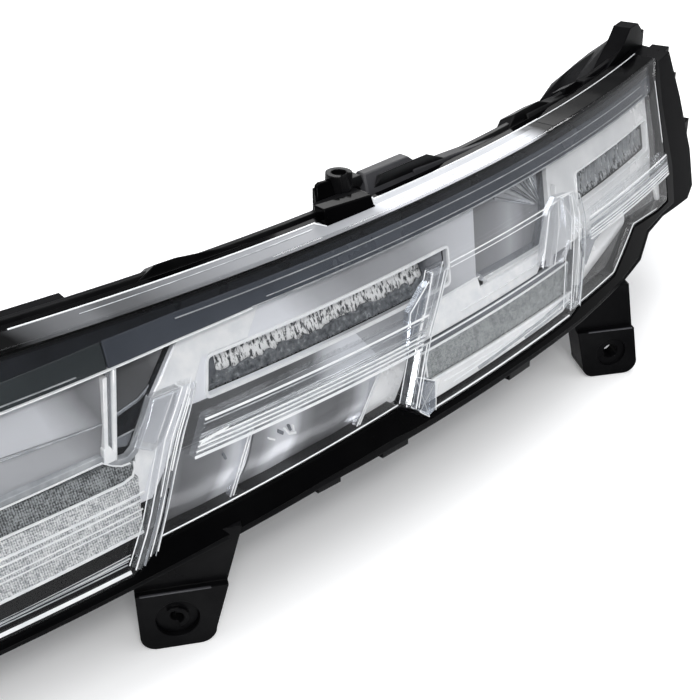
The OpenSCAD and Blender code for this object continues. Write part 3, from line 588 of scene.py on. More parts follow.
def along(path, t):
    """The point at share t of a path's length."""
    lengths = [(Vector(b) - Vector(a)).length for a, b in zip(path, path[1:])]
    want = t * sum(lengths)
    for (a, b), length in zip(zip(path, path[1:]), lengths):
        if want <= length + 1e-9:
            q = Vector(a).lerp(Vector(b), want / length if length else 0)
            return (q.x, q.y)
        want -= length
    return path[-1]


def between(left, right, share, n=10, t0=0.0, t1=1.0):
    """A path that lies at one share of the way from one edge of a plate to the other."""
    out = []
    for i in range(n + 1):
        t = t0 + (t1 - t0) * i / n
        a = Vector(along(left, t))
        b = Vector(along(right, t))
        q = a.lerp(b, share)
        out.append((q.x, q.y))
    return out


def relief(name, corners, nu, nz, depth, back, mat, replaces=(), sharp=40):
    """A closed plate over four (u, z) corners (top left, top right, bottom right, bottom left) whose front
    follows depth(u, z, t), with t the share of the way down."""
    tl, tr, br, bl = [Vector(c) for c in corners]
    bm = bmesh.new()
    front = []
    for j in range(nz + 1):
        t = j / nz
        row = []
        for i in range(nu + 1):
            q = tl.lerp(tr, i / nu).lerp(bl.lerp(br, i / nu), t)
            row.append(bm.verts.new((q.x, depth(q.x, q.y, t), q.y)))
        front.append(row)
    for j in range(nz):
        for i in range(nu):
            bm.faces.new([front[j][i], front[j][i + 1], front[j + 1][i + 1], front[j + 1][i]])
    edge = [(0, i) for i in range(nu)] + [(j, nu) for j in range(nz)]
    edge += [(nz, i) for i in range(nu, 0, -1)] + [(j, 0) for j in range(nz, 0, -1)]
    ring = [bm.verts.new((front[j][i].co.x, back, front[j][i].co.z)) for j, i in edge]
    bridge(bm, [front[j][i] for j, i in edge], ring)
    cap(bm, ring)
    bend(bm)
    mesh_piece(name, closed_mesh(name, bm), mat, replaces, 0, sharp)


# ---------------------------------------------------------------- the lens

lens_edge = [
    (-232, -9.4), (-232, -92), (-136, -87), (-125, -79.5), (-18, -75), (-6, -83), (92, -81.5), (101, -79.5),
    (134, -78.5), (150, -72), (163, -66.5), (191, -69), (204, -69), (217, -45), (228, -18), (236, -9.4),
]
lens_round = rounded(lens_edge, 2.5, 3)
LENS_WALL = 3
# Depth at which the housing takes over from the lens's edge wall
LIP = 13.5


def lens_skin():
    inner = inset(lens_round, LENS_WALL)
    bm = bmesh.new()

    def ring(points, k):
        return [bm.verts.new((p[0], k, p[1])) for p in points]

    out_front, out_back = ring(lens_round, 0), ring(lens_round, LIP)
    in_front, in_back = ring(inner, LENS_WALL), ring(inner, LIP)
    bridge(bm, out_front, out_back)
    bridge(bm, in_front, in_back)
    bridge(bm, out_back, in_back)
    cap(bm, out_front)
    cap(bm, in_front)
    piece("lens_skin", bm, "skin", LENS, replaces=("outer_lens",), bevel=0.15, step=4)


lens_skin()

# Thin white line along the lens's edge: a painted highlight for the light that the clear wall pipes
lines("lens_edge_line", [
    ([(-124.4, -79.0), (-96, -77.8), (-18.4, -74.4)], 0.35),
    ([(-12.6, -77.6), (-6.2, -82.2), (60, -81.2), (91.6, -80.8)], 0.5),
    ([(101.4, -78.8), (133.8, -77.8), (149.8, -71.2), (162.8, -65.9), (190, -68.3)], 0.3),
    ([(216.4, -45), (227.2, -18.4)], 0.3),
    ], -0.1, 0.25, "line", LENS, bevel=0.08)

SLABS = {
    "left": (
        [(-104.5, -35.6), (-106.2, -37.9), (-115.7, -49.2), (-124, -63.6), (-128.9, -72.2), (-137.2, -83.6)],
        [(-98.5, -35.6), (-102.3, -41.5), (-106.6, -47.4), (-113.3, -57.5), (-119.7, -68.2), (-127.6, -80.6)],
    ),
    "mid": (
        [(13, -34.6), (6.6, -43), (2.8, -47.5), (-5.2, -57), (-17.7, -74.2)],
        [(23.5, -34.6), (14, -45), (6, -53), (-1, -62), (-11.5, -77)],
    ),
    "right": (
        [(111.6, -35.2), (109.4, -44), (102.5, -55), (88.5, -76.8)],
        [(118.2, -36.5), (118.4, -45.5), (112, -58), (96.5, -77)],
    ),
}
for side, (left, right) in SLABS.items():
    outline = rounded(left + right[::-1], 1.2, 3)
    small = inset(outline, 1.2)
    loft("crystal_slab_" + side, [(outline, 0.4), (outline, -3.0), (small, -4.4)], "crystal", LENS, bevel=0.2)

# Lines that run down each slab, painted highlights and dark reflections in the crystal: share across, width, start,
# end, finish
SLAB_LINES = {
    "left": [
        (0.05, 0.8, 0.0, 1.0, "line"), (0.20, 0.35, 0.1, 0.55, "line_grey"), (0.30, 0.8, 0.0, 0.62, "line"),
        (0.42, 0.35, 0.05, 0.9, "line_grey"), (0.52, 0.5, 0.02, 0.55, "line"), (0.64, 0.9, 0.08, 0.5, "line"),
        (0.66, 0.7, 0.60, 0.86, "black"), (0.52, 0.6, 0.62, 0.97, "line"), (0.80, 0.45, 0.0, 1.0, "line_grey"),
        (0.95, 0.9, 0.0, 1.0, "line"), (0.34, 1.4, 0.62, 1.0, "steel"),
    ],
    "mid": [
        (0.04, 0.9, 0.0, 1.0, "line"), (0.30, 0.4, 0.05, 0.45, "line_grey"), (0.62, 0.6, 0.02, 0.5, "line"),
        (0.72, 0.4, 0.02, 0.5, "line_grey"), (0.60, 0.9, 0.55, 1.0, "line"), (0.96, 0.8, 0.0, 1.0, "line"),
    ],
    "right": [
        (0.05, 0.8, 0.0, 1.0, "line"), (0.34, 0.5, 0.1, 0.9, "line"), (0.58, 1.2, 0.3, 0.95, "steel"),
        (0.82, 0.5, 0.0, 1.0, "line_grey"), (0.95, 0.8, 0.0, 1.0, "line"),
    ],
}
for side, slab_lines in SLAB_LINES.items():
    left, right = SLABS[side]
    for finish in ("line", "line_grey", "black", "steel"):
        for level, k0, k1 in (("face", -4.5, -4.3), ("rim", -3.5, -3.3)):
            rows = [
                (between(left, right, share, 10, t0, t1), width * 0.55)
                for share, width, t0, t1, f in slab_lines
                if f == finish and (0.1 < share < 0.9) == (level == "face")
            ]
            if rows:
                lines(f"slab_{side}_{finish}_{level}", rows, k0, k1, finish, LENS, bevel=0.05)
    lines(f"slab_{side}_base", [(left, 0.3), (right, 0.3)], -0.15, 0.1, "line", LENS, bevel=0.05)

# Plates beside the slabs, seen through the lens
PLATES = [
    ("slab_left_plate", [(-115.9, -35.8), (-105.2, -35.8), (-107, -39), (-116.2, -50), (-119.9, -51.6),
                         (-125.3, -48.9), (-119.6, -41.4)], -3.4, 0.2, "plate"),
    ("slab_mid_facet", [(10.5, -37.4), (7.7, -38.4), (-3.2, -44.7), (-9.4, -56.3), (-7.2, -58.6), (-4.6, -56),
                        (3, -47.2), (6.3, -43)], -3.0, 0.2, "facet"),
    ("slab_mid_plate", [(14, -35.4), (21.3, -35.8), (6.2, -53), (4, -46.8), (7.6, -43)], -3.0, 0.2, "plate"),
    ("slab_right_plate", [(100.6, -33), (111, -34.6), (108.6, -44), (101.8, -54.5), (94.4, -58.5), (78.3, -55.1),
                          (93, -36.4)], -3.2, 0.2, "plate"),
    ("slab_mid_foot", [(-8.9, -66.3), (0.3, -71.3), (-3.6, -81), (-7.6, -82), (-11.5, -78.6)], -3.4, 0.2, "facet"),
]
for name, outline, k0, k1, mat in PLATES:
    small = inset(outline, 0.8)
    loft(name, [(outline, k1), (outline, k0 + 0.9), (small, k0)], mat, LENS, bevel=0.15)

# White and grey lines along the plates' edges: painted highlights
PLATE_LINES = [
    ([(-115.9, -35.8), (-105.2, -35.8)], 0.5, "line_grey"),
    ([(10.5, -37.2), (-3.2, -44.7), (-9.4, -56.3)], 0.5, "line"),
    ([(-9.4, -56.3), (-4.6, -56.2), (3, -47.2)], 0.5, "line"),
    ([(21.3, -35.8), (6.2, -53)], 0.6, "line"),
    ([(24, -34.6), (113, -34.4)], 0.6, "line"),
    ([(24, -36.2), (92, -36.2)], 0.35, "line"),
    ([(93, -36.4), (78.3, -55.1)], 1.0, "line"),
    ([(100.6, -33), (113, -34.4)], 0.6, "line"),
    ([(101.2, -34.6), (97, -44), (87, -56.6)], 0.5, "line"),
    ([(104, -36), (108.2, -44), (101, -55)], 0.5, "line"),
    ([(-8.9, -66.3), (-7.6, -82)], 0.5, "line"),
    ([(-8.9, -66.3), (0.3, -71.3), (-3.6, -81)], 0.5, "line"),
    ([(-11.5, -78.6), (0.3, -71.3)], 0.4, "line"),
    ([(-11.5, -78.6), (-7.6, -82)], 0.4, "line"),
]
for finish in ("line", "line_grey"):
    lines("plate_edges_" + finish, [(p, w * 0.7) for p, w, f in PLATE_LINES if f == finish], -3.2, -2.95, finish, LENS,
          bevel=0.05)


BAR_TOP = -47.4
# Depths of the bars' faces and grooves, and of the lines on the faces
BAR_FACE, BAR_GROOVE = -3.6, -2.4
BAR_LINES = (-3.75, -3.5)
RIDGES = 4


def crystal_bar(name, u0, u1, slant0, slant1, foot):
    """A flat upper face, then four small ridges down to the foot, with white and grey lines on them as painted
    highlights.
    """
    top = BAR_TOP
    h = top - foot
    profile = [(top, 0.4), (top, -2.8), (top - 0.8, BAR_FACE), (top - 0.42 * h, BAR_FACE),
               (top - 0.5 * h, BAR_GROOVE)]
    z = top - 0.52 * h
    w = (z - foot) / RIDGES
    for i in range(RIDGES):
        for share, k in ((0.15, BAR_FACE), (0.6, BAR_FACE), (0.95, BAR_GROOVE)):
            profile.append((z - i * w - share * w, k))
    profile.append((foot, 0.4))
    bar(name, profile, u0, u1, "crystal", LENS, slant0=slant0, slant1=slant1, bevel=0.12)
    for label, zs, width, finish in (
        ("edge", [top - 0.5, foot + 0.5], 1.1, "line"),
        ("rib", [z - (i + 0.4) * w for i in range(RIDGES)], 0.75, "line"),
        ("core", [top - 1.7, top - 0.40 * h, top - 0.46 * h, z - 1.0 * w, z - 2.0 * w], 0.6, "line_grey"),
    ):
        rows = []
        for line_z in zs:
            rise = line_z - (top + foot) / 2
            ends = [(u0 + slant0 * rise + 0.6, line_z), (u1 + slant1 * rise - 0.6, line_z)]
            rows.append((ends, width * 0.6))
        lines(f"{name}_{label}", rows, *BAR_LINES, finish, LENS, bevel=0.05)


crystal_bar("crystal_bar_mid", -104, 2, 0.72, 0.75, -58.6)
crystal_bar("crystal_bar_outer", 119, 208, 0.4, 0.35, -56.6)
hatch = [([(-104 + 1.3 * i, -54.8 + 0.2 * i), (-101 + 1.5 * i, -53.4 + 0.1 * i)], 0.5) for i in range(7)]
lines("crystal_bar_hatch", hatch, *BAR_LINES, "line", LENS, bevel=0.05)

# ---------------------------------------------------------------- top strip and dark band

# The strip under the lens's top return, with a painted reflection, and painted shade on its upper part
plank("top_strip", [(-231, 0.7), (119, 0.7), (119, 11.0), (-231, 11.0)], -10.8, -9.25, "strip", SILVER, bevel=0.3)
plank("top_strip_dark", [(119, 0.7), (234, 0.7), (236, 11.0), (119, 11.0)], -10.8, -9.25, "gloss_black", "gloss_black",
      bevel=0.3)
plank("top_strip_upper", [(3.6, 6.9), (112, 7.2), (112, 10.0), (3.6, 10.0)], -9.4, -9.17, "strip_upper", SILVER,
      bevel=0.1)
plank("top_strip_ridge", [(-128, 6.4), (-30, 6.9), (-30, 7.5), (-128, 6.8)], -9.25, -9.0, "line_grey", SILVER,
      bevel=0.12)
plank("top_strip_line", [(-151, 10.3), (-26.4, 10.3), (-24.6, 5.6), (-24.0, 5.6), (-25.6, 10.9), (-151, 10.9)], -9.25,
      -8.85, "line", LENS, bevel=0.12)
plank("top_strip_line_end", [(122.4, 10.4), (236, 10.4), (236, 10.75), (122.4, 10.75)], -9.25, -9.0, "line", LENS,
      bevel=0.05)
plank("top_strip_line_mid", [(3.4, 10.3), (122, 10.3), (122, 10.9), (3.4, 10.9)], -9.25, -8.85, "line", LENS,
      bevel=0.12)
plank("top_strip_groove", [(8, 3.4), (104, 3.8), (104, 4.0), (8, 3.6)], -9.3, -9.2, "line_grey", LENS, bevel=0)
plank("top_strip_back", [(-231, 11.0), (237, 11.0), (237, 14.8), (-231, 14.8)], -11.2, -9.3, "gloss_black",
      "gloss_black", bevel=0.4)

prism("band_shadow", [(-228, -14.2), (-228, -21), (-158, -20), (-96, -17), (231, -17), (233, -14.2)], 4.0, 6.6,
      "black", "dark_band", bevel=0.3)
band_top = [(231, -16.6), (-96, -16.6), (-124.6, -17.6)]
prism("dark_band", band_top + [(-124.6, -26.4), (-98, -25), (-67, -24), (226, -24)], 3.6, 6.8, "band", "dark_band",
      replaces=("top_band",), bevel=0.4)
prism("dark_band_inboard", [(-125, -17.7), (-160, -20), (-228, -22), (-228, -30), (-162, -28.4), (-125, -26.4)], 3.8,
      6.8, "band_left", "dark_band", bevel=0.4)
lines("dark_band_lines", [
    ([(-67, -23.8), (220, -23.8)], 0.45),
    ([(-228, -27.8), (-162, -26.5), (-136, -25.4)], 0.25),
    ([(-97, -18.4), (215, -18.4)], 0.3),
    ([(-60, -22.2), (215, -22.2)], 0.25),
    ], 3.2, 3.9, "line_grey", LENS, bevel=0.08)
lines("dark_band_bright", [([(-228, -29.8), (-162, -28.2), (-125, -26.4), (-99, -25.0), (-67, -24)], 0.4)], 2.8, 3.9,
      "line", LENS, bevel=0.08)

# ---------------------------------------------------------------- inboard panel, pillar and pocket

# The inboard panel's upper and lower halves: lit and shaded copies of one silver paint, painted light and shade
bar(
    "panel_inboard", [(-25, 7.0), (-34, 6.0), (-42.4, 5.4), (-42.4, 7.4), (-25, 9.0)],
    -228, -128.6, "satin", SILVER, slant1=0.29, mid_z=-40, replaces=("bezel_left",), bevel=0.2,
)
bar(
    "panel_inboard_low", [(-42.6, 5.4), (-49.5, 6.4), (-57.5, 7.2), (-57.5, 9.0), (-42.6, 7.4)],
    -228, -129.6, "satin_low", SILVER, slant1=0.29, mid_z=-40, bevel=0.2,
)
lines("panel_fold_line", [([(-228, -42.6), (-130.3, -42.4)], 0.45)], 4.9, 5.5, "line_grey", SILVER, bevel=0.1)
frame_line = [
    (-228, -57.6), (-185, -55.4), (-170, -54.5), (-139, -52.5), (-135.2, -52.3), (-132.1, -54.2), (-129.2, -55.4),
    (-125.9, -55.5), (-122.8, -53.8), (-116.4, -45.9), (-112.3, -40.6)
]
lines("panel_frame", [(frame_line, 1.7)], 5.0, 8.0, "line_grey", SILVER, bevel=0.35)
lines("panel_frame_edge", [(shift(frame_line[:8], 0, -0.9), 0.35)], 4.2, 4.9, "line", SILVER, bevel=0.08)

# The pillar: white sides as painted highlights, and a grey middle
pillar_left = [(-126.5, -26), (-134.5, -54)]
pillar_right = [(-121.3, -26), (-129.8, -54)]
for i, (s0, s1, mat) in enumerate(((0.0, 0.30, "line"), (0.30, 0.68, "steel"), (0.68, 1.0, "line"))):
    a = between(pillar_left, pillar_right, s0, 6, 0.1 if i == 0 else 0.0)
    b = between(pillar_left, pillar_right, s1, 6, 0.1 if i == 0 else 0.0)
    prism(f"pillar_{i}", a + b[::-1], 4.2 if mat == "line" else 5.4, 8.8, mat, SILVER, bevel=0.5)
prism("pillar_foot", [(-133.6, -49.5), (-131.2, -49), (-129.6, -52.4), (-130.6, -53.8), (-134.4, -54)], 4.1, 8.8,
      "line", SILVER, bevel=0.3)

pocket_left = rounded([(-120.8, -26), (-129.8, -53.2), (-123.5, -54.5), (-112.6, -41.5), (-97, -26)], 2.0, 3)
# The pocket's floor carries painted light, dark inboard and pale outboard
prism("pocket_floor", pocket_left, 10.2, 11.6, "cloud", "gloss_black", replaces=("pocket_panel",), bevel=0)
prism("pocket_wall", [(-131, -54.6), (-123, -56), (-111.5, -42.4), (-95.8, -25.6), (-120, -25.6)], 8.8, 10.2, "black",
      "gloss_black", holes=[inset(pocket_left, 0.6)], bevel=0.2)
prism("pocket_black", [(-128.4, -44.6), (-114, -41.8), (-105.5, -37), (-112.6, -44), (-121.6, -53.8), (-129.4, -53)],
      9.6, 10.4, "black", "gloss_black", bevel=0.2)
lines("pocket_line", [([(-127.6, -44.4), (-115, -41.4), (-104.5, -35.8)], 1.1)], 9.2, 10.4, "steel", "gloss_black",
      bevel=0.4)
prism("pocket_facet", [(-128.2, -52.8), (-123.8, -53.8), (-119.5, -50), (-126.8, -50.4)], 9.0, 10.4, "smoke",
      "gloss_black")
lines("pocket_rim", [([(-127.6, -50.2), (-119.2, -49.4), (-117, -47)], 0.4)], 8.6, 9.1, "line_grey", "gloss_black",
      bevel=0.1)

# ---------------------------------------------------------------- main bezel

win_mid = [(-87.4, -35.4), (-91.5, -47), (30, -47), (34, -34.6)]
win_outer = [(134.6, -35.2), (129.6, -47.6), (210.5, -47.6), (217, -35.2)]
pocket_right = [(58, -24), (49, -50), (53, -53), (95, -54), (106, -44), (114.5, -24)]

# The middle bezel, its silver carrying a painted reflection
prism(
    "bezel_mid",
    [(-95.5, -25), (-111.7, -41.1), (-116.2, -46.4), (-122.4, -55), (-124.2, -61), (-131, -71), (-121, -71),
     (-110, -60), (48.5, -60), (47, -50), (57, -24), (-67, -24)],
    7.0, 9.0, "white_soft", SILVER, holes=[rounded(win_mid, 1.5, 3)], replaces=("bezel",), bevel=0.3,
)
# Painted shade behind the middle bar, as far as the bar's right third, with a painted highlight at its outboard end
prism("bezel_under_bar", [(-101, -47.8), (-24, -47.8), (-16, -59.6), (-110, -59.6)], 6.5, 7.2, "under_bar", SILVER,
      bevel=0.1)
# The bright slanting band beside the pocket: a painted reflection
prism("bezel_bright", [(-95.3, -25.2), (-111.4, -41.1), (-94.6, -41.1), (-89.6, -34.4), (-70, -34.2), (-62, -25.2)],
      6.7, 7.3, "line", SILVER, bevel=0.2)
prism("bezel_pale_foot", [(-122.3, -54.4), (-119.5, -52.4), (-114, -55.5), (-124.2, -69), (-127.5, -66.5),
      (-124.3, -60.5)], 6.7, 7.3, "line", SILVER, bevel=0.2)
prism(
    "bezel_right",
    [(113.5, -24), (106, -44), (95, -54), (53, -53.4), (49, -60), (166, -60), (168, -61.5), (199, -61.5), (205, -60),
     (213.6, -50), (226, -24)],
    7.0, 9.0, "white", SILVER, holes=[rounded(win_outer, 1.5, 3)], bevel=0.3,
)
for name, outline, width in (("window_frame_mid", win_mid, 0.9), ("window_frame_outer", win_outer, 0.5)):
    prism(name, rounded(inset(outline, -width), 2.2, 3), 6.2, 7.2, "line", SILVER, holes=[rounded(outline, 1.5, 3)],
          bevel=0.3)

# Right pocket: a grey tray with painted light, brightest near the focus, and a fan of bright rays
prism("pocket_right_back", [(44, -46), (112, -44), (112, -60), (44, -60)], 13.4, 14.6, "tray", CHROME, bevel=0.2)
prism("pocket_right_floor", inset(pocket_right, -2), 12.6, 14.0, "tray", CHROME, replaces=("pocket_reflector",),
      bevel=0)
prism("pocket_right_wall", inset(pocket_right, -2), 9.0, 12.6, "steel", CHROME, holes=[inset(pocket_right, 0.2)],
      bevel=0.2)
focus = Vector((108.5, -42.5))
rays = {"chrome": [], "steel": [], "line_grey": []}
for ang, width, reach, finish in (
    (96, 0.5, 17, "steel"), (104, 0.9, 18, "line_grey"), (112, 0.5, 19, "steel"), (120, 1.0, 21, "line_grey"),
    (128, 0.6, 23, "steel"), (136, 1.3, 25, "line_grey"), (144, 0.6, 29, "steel"), (150, 1.4, 33, "line_grey"),
    (154, 1.6, 36, "chrome"), (158, 0.6, 34, "chrome"),
):
    d = Vector((math.cos(math.radians(ang)), math.sin(math.radians(ang))))
    a, b = focus + d * 3, focus + d * reach
    n = Vector((-d.y, d.x))
    rays[finish].append([tuple(a), tuple(b - n * width), tuple(b + n * width)])
for finish, outlines in rays.items():
    join_outlines("pocket_right_rays_" + finish, outlines, 11.8, 12.8, finish, CHROME, bevel=0.1)

# Pale panels under the right pocket, with their parallel lines
prism("panel_lower_right", [(46, -54.2), (95, -54.8), (90, -58), (84, -61.8), (6, -61.8), (20, -50.6), (46, -50.2)],
      5.4, 7.0, "line", SILVER, bevel=0.4)
lines("panel_lower_right_lines", [
    ([(12, -50.4), (46, -49.2)], 0.35), ([(4, -62.2), (104, -61.8)], 0.5),
    ([(3, -64.6), (106, -64.2)], 0.8), ([(30, -57.6), (88, -57.4)], 0.3),
    ], 4.0, 4.5, "line", OPTIC, bevel=0.1)
prism("panel_lower_groove", [(4, -62.4), (104, -62), (104, -63.6), (4, -64)], 4.2, 6.6, "smoke", OPTIC, bevel=0.2)
prism("standing_plate", [(105.5, -46), (92, -63), (94.5, -63), (113, -38), (113, -33)], 4.4, 7.0, "white", SILVER,
      bevel=0.3)

# ---------------------------------------------------------------- fluted windows


FLUTE_FRONT, FLUTE_BACK = 11.2, 13.2


def flutes(name, win, pitch, mat, replaces, seed, drop):
    """A row of upright flutes over the upper part of a window, each ending at its own height."""
    r = random.Random(seed)
    u0 = win[1][0] - 1
    u1 = win[3][0] + 1
    n = int((u1 - u0) / pitch)
    ends = [drop + r.uniform(-0.16, 0.14) for _ in range(n + 2)]
    tops = [r.uniform(0.05, 0.14) for _ in range(n + 2)]

    def depth(u, z, t):
        x = (u - u0) / pitch
        i = min(max(int(x), 0), n)
        fade = clamp((ends[i] - t) / 0.2)
        return FLUTE_FRONT - tops[i] * math.sin(math.pi * clamp(x - i)) ** 0.7 * fade

    top, foot = win[0][1] + 1.6, win[1][1] - 1
    corners = [(win[0][0] - 1, top), (win[3][0] + 1, top), (win[2][0] + 1, foot), (win[1][0] - 1, foot)]
    relief(name, corners, n * 5, 26, depth, FLUTE_BACK, mat, replaces=replaces, sharp=50)


flutes("window_flutes_mid", win_mid, 1.3, "flute", ("flute_mid",), 3, 0.78)
flutes("window_flutes_outer", win_outer, 1.2, "flute_dark", ("flute_outer",), 5, 0.85)

# Dark fine-textured strip along the window's foot, its upper edge as ragged as the flutes' ends
r = random.Random(11)
ragged = [(-88 + 2.0 * i, -43.0 + r.uniform(-0.9, 1.1) + 0.012 * i) for i in range(60)]
prism("window_foot_mid", [(-90.8, -46.8)] + ragged + [(31, -40.6), (29.8, -46.8)], 9.3, 10.4, "foot", OPTIC,
      bevel=0.1)
prism("window_end_mid", [(19, -35.2), (20, -43.4), (31.2, -43.4), (33.6, -35.2)], 9.3, 10.6, "pocket", OPTIC,
      bevel=0.2)
prism("window_start_mid", [(-86.6, -36), (-90, -46), (-84.6, -46), (-83.8, -36)], 9.3, 10.6, "pocket", OPTIC,
      bevel=0.2)
r = random.Random(17)
scratches = []
for i in range(44):
    u = 133 + i * 1.85 + r.uniform(-0.8, 0.8)
    z = -36.5 - r.uniform(0, 3)
    path = [(u, z), (u - 1.6 - r.uniform(0, 1), z - 3), (u - 2.2 - r.uniform(0, 1.6), z - 4 - r.uniform(1, 3.4))]
    scratches.append((path, r.uniform(0.12, 0.3)))
lines("window_outer_curves", scratches, 9.2, 10.2, "line_grey", OPTIC, bevel=0)

# ---------------------------------------------------------------- light guides


def ribs(pitch, rise, base, wave):
    """A front of upright ribs, with a slight swell between them."""
    def depth(u, z, t):
        f = (u / pitch) % 1.0
        return base - rise * (1 - abs(2 * f - 1)) - wave * math.sin(u * 1.9) * math.sin(z * 2.3)
    return depth


relief("guide_left_mesh", [(-226, -57.4), (-123.4, -55.2), (-126.2, -61.2), (-226, -68.4)], 480, 8,
       ribs(0.85, 0.25, 5.6, 0.1), 9.0, "mesh", replaces=("guide_left",), sharp=25)
relief("guide_left_bar", [(-226, -68.6), (-124.6, -61.4), (-127.9, -78.3), (-226, -85.4)], 360, 26,
       ribs(0.8, 0.12, 4.8, 0.16), 9.0, "mottle", sharp=25)


def sloped(u_end, z_end, width, drop=0.068, u_start=-226):
    """A path that climbs to the right along the inboard guide, and its width."""
    return ([(u_start, z_end - drop * (u_end - u_start)), (u_end, z_end)], width)


lines("guide_left_lines", [
    ([(-226, -67.9), (-173, -63.9), (-130, -61.6), (-126.4, -60.6), (-125, -58.6), (-124.6, -56.4)], 0.6),
    sloped(-123.8, -66.6, 0.7, 0.06), sloped(-125.4, -68.6, 0.45, 0.06), sloped(-126, -71.4, 0.3),
    sloped(-127, -73.0, 0.3), sloped(-127.9, -78.2, 0.8, 0.07),
    ], 4.4, 4.9, "line", OPTIC, bevel=0.1)
prism("guide_left_stripe", [(-226, -85.6), (-127.6, -78.8), (-133.6, -83.2), (-226, -90)], 4.2, 6.6, "gloss_black",
      "gloss_black", bevel=0.4)
lines("guide_left_rails", [sloped(-134.2, -83.3, 0.8, 0.07), sloped(-134.6, -84.6, 0.3, 0.07)], 4.6, 5.2, "line",
      OPTIC, bevel=0.1)
prism("guide_left_channel", [(-226, -90.4), (-134, -83.9), (-136, -86.0), (-226, -91.8)], 5.6, 7.4, "band",
      "dark_band", bevel=0.3)
lines("lens_foot_left", [([(-229, -90.6), (-137, -85.9)], 1.1)], 0.1, 0.6, "line", LENS, bevel=0.15)
lines("lens_foot_left_lines", [([(-229, -89.2), (-137, -84.5)], 0.3), ([(-229, -88.2), (-136.4, -83.6)], 0.25)], 2.0,
      2.3, "line_grey", LENS, bevel=0.06)

relief("guide_right_bar", [(4.5, -65.0), (106.5, -65.0), (99.5, -74.6), (2.4, -74.4)], 400, 18,
       ribs(0.7, 0.12, 4.4, 0.15), 9.0, "texture", replaces=("guide_right",), sharp=25)
lines("guide_right_lines", [
    ([(2.6, -74.8), (101, -75.2)], 0.8), ([(3.6, -64.8), (1.4, -74.8)], 0.7),
    ([(10, -77.4), (98, -77.0)], 0.4), ([(14, -79.4), (70, -77.6)], 0.35),
    ([(40, -80), (99, -77.8)], 0.35),
    ], 3.0, 3.5, "line", OPTIC, bevel=0.1)
prism("foot_panel_right", [(0, -75), (101, -75.4), (98, -78.6), (92, -80.4), (-4, -81.6)], 3.3, 5.4, "white", SILVER,
      bevel=0.3)
lines("foot_panel_shades", [([(30, -79.8), (96, -76.6)], 1.1), ([(62, -80), (98, -78.2)], 0.8)], 2.9, 3.6, "line_grey",
      OPTIC, bevel=0.2)

# ---------------------------------------------------------------- lower reflectors


def swell(depth, base, folds=0.0):
    """A front that bulges halfway down, with slow folds across it."""
    def at(u, z, t):
        roll = math.sin(u * 0.21 + z * 0.34) + 0.6 * math.sin(u * 0.43 - z * 0.27 + 1.3)
        return base - depth * math.sin(math.pi * t) - folds * roll
    return at


# The lower reflectors, with painted reflections in dark and pale bands
relief("reflector_mid_left", [(-108, -60.5), (-76, -60.5), (-92.6, -80.2), (-125, -80.2)], 60, 40,
       swell(2.4, 7.4, 0.08), 9.4, "mirror_left", replaces=("reflector_mid",), sharp=60)
relief("reflector_mid_centre", [(-75, -60.5), (-16, -60.5), (-36, -79.0), (-91.6, -80.2)], 90, 40,
       swell(3.0, 8.0, 0.1), 9.6, "mirror_mid", sharp=60)
relief("reflector_mid_right", [(-15, -60.5), (0, -60.5), (-14, -77), (-35, -78.6)], 12, 14, swell(1.4, 7.2), 9.4,
       "white")
prism("reflector_mid_step", [(-126, -80.4), (-36, -79.4), (-14, -77.2), (-14, -79.6), (-40, -81.6), (-122, -82.6)],
      6.2, 9.0, "black", CHROME, bevel=0.3)
lines("reflector_mid_ribs", [([(-80, -61), (-95.6, -80.2)], 1.2), ([(-18, -61), (-39, -78.6)], 1.2)], 3.4, 6.4,
      "plate", OPTIC, bevel=0.3)
lines("reflector_mid_rib_edges", [
    ([(u0 + d, -61), (u1 + d, z1)], 0.4) for u0, u1, z1 in ((-80, -95.6, -80.2), (-18, -39, -78.6))
    for d in (-0.6, 0.6)], 3.3, 3.7, "line", OPTIC, bevel=0.08)
lines("reflector_mid_hooks", [
    ([(-66.6, -66.4), (-65.4, -68.8), (-62.4, -69.4)], 0.8), ([(-62.8, -66.6), (-63.2, -68.6)], 0.6),
    ([(-74, -67.2), (-71.6, -68.6)], 0.6),
    ], 4.6, 6.2, "line", CHROME, bevel=0.2)
lines("reflector_mid_hooks_dark", [
    ([(-92.6, -65.6), (-92.2, -67.6)], 0.9), ([(-64.6, -66), (-64.4, -68)], 1.0),
    ([(-69.4, -66.4), (-67.6, -67.8)], 1.2),
    ], 4.6, 6.2, "smoke", CHROME, bevel=0.2)

relief("reflector_outer_panel", [(124, -60.5), (167, -60.5), (160, -70), (113, -78)], 30, 14, swell(2.4, 7.2), 9.4,
       "white", replaces=("reflector_outer",))
prism("reflector_outer_grey", [(121, -60.5), (152, -60.8), (132, -64), (119.5, -70.5)], 4.2, 5.6, "steel", CHROME,
      bevel=0.3)
prism("outer_dark_window", [(166.5, -61.2), (201.5, -61.6), (200.5, -69.4), (170.5, -68.6)], 5.2, 9.0, "black",
      "gloss_black", bevel=0.3)
prism("outer_white_strip", [(202.6, -61.4), (207.4, -61.2), (209.2, -66), (206, -70), (202.4, -70)], 4.6, 9.0, "line",
      SILVER, bevel=0.3)

# ---------------------------------------------------------------- housing rim

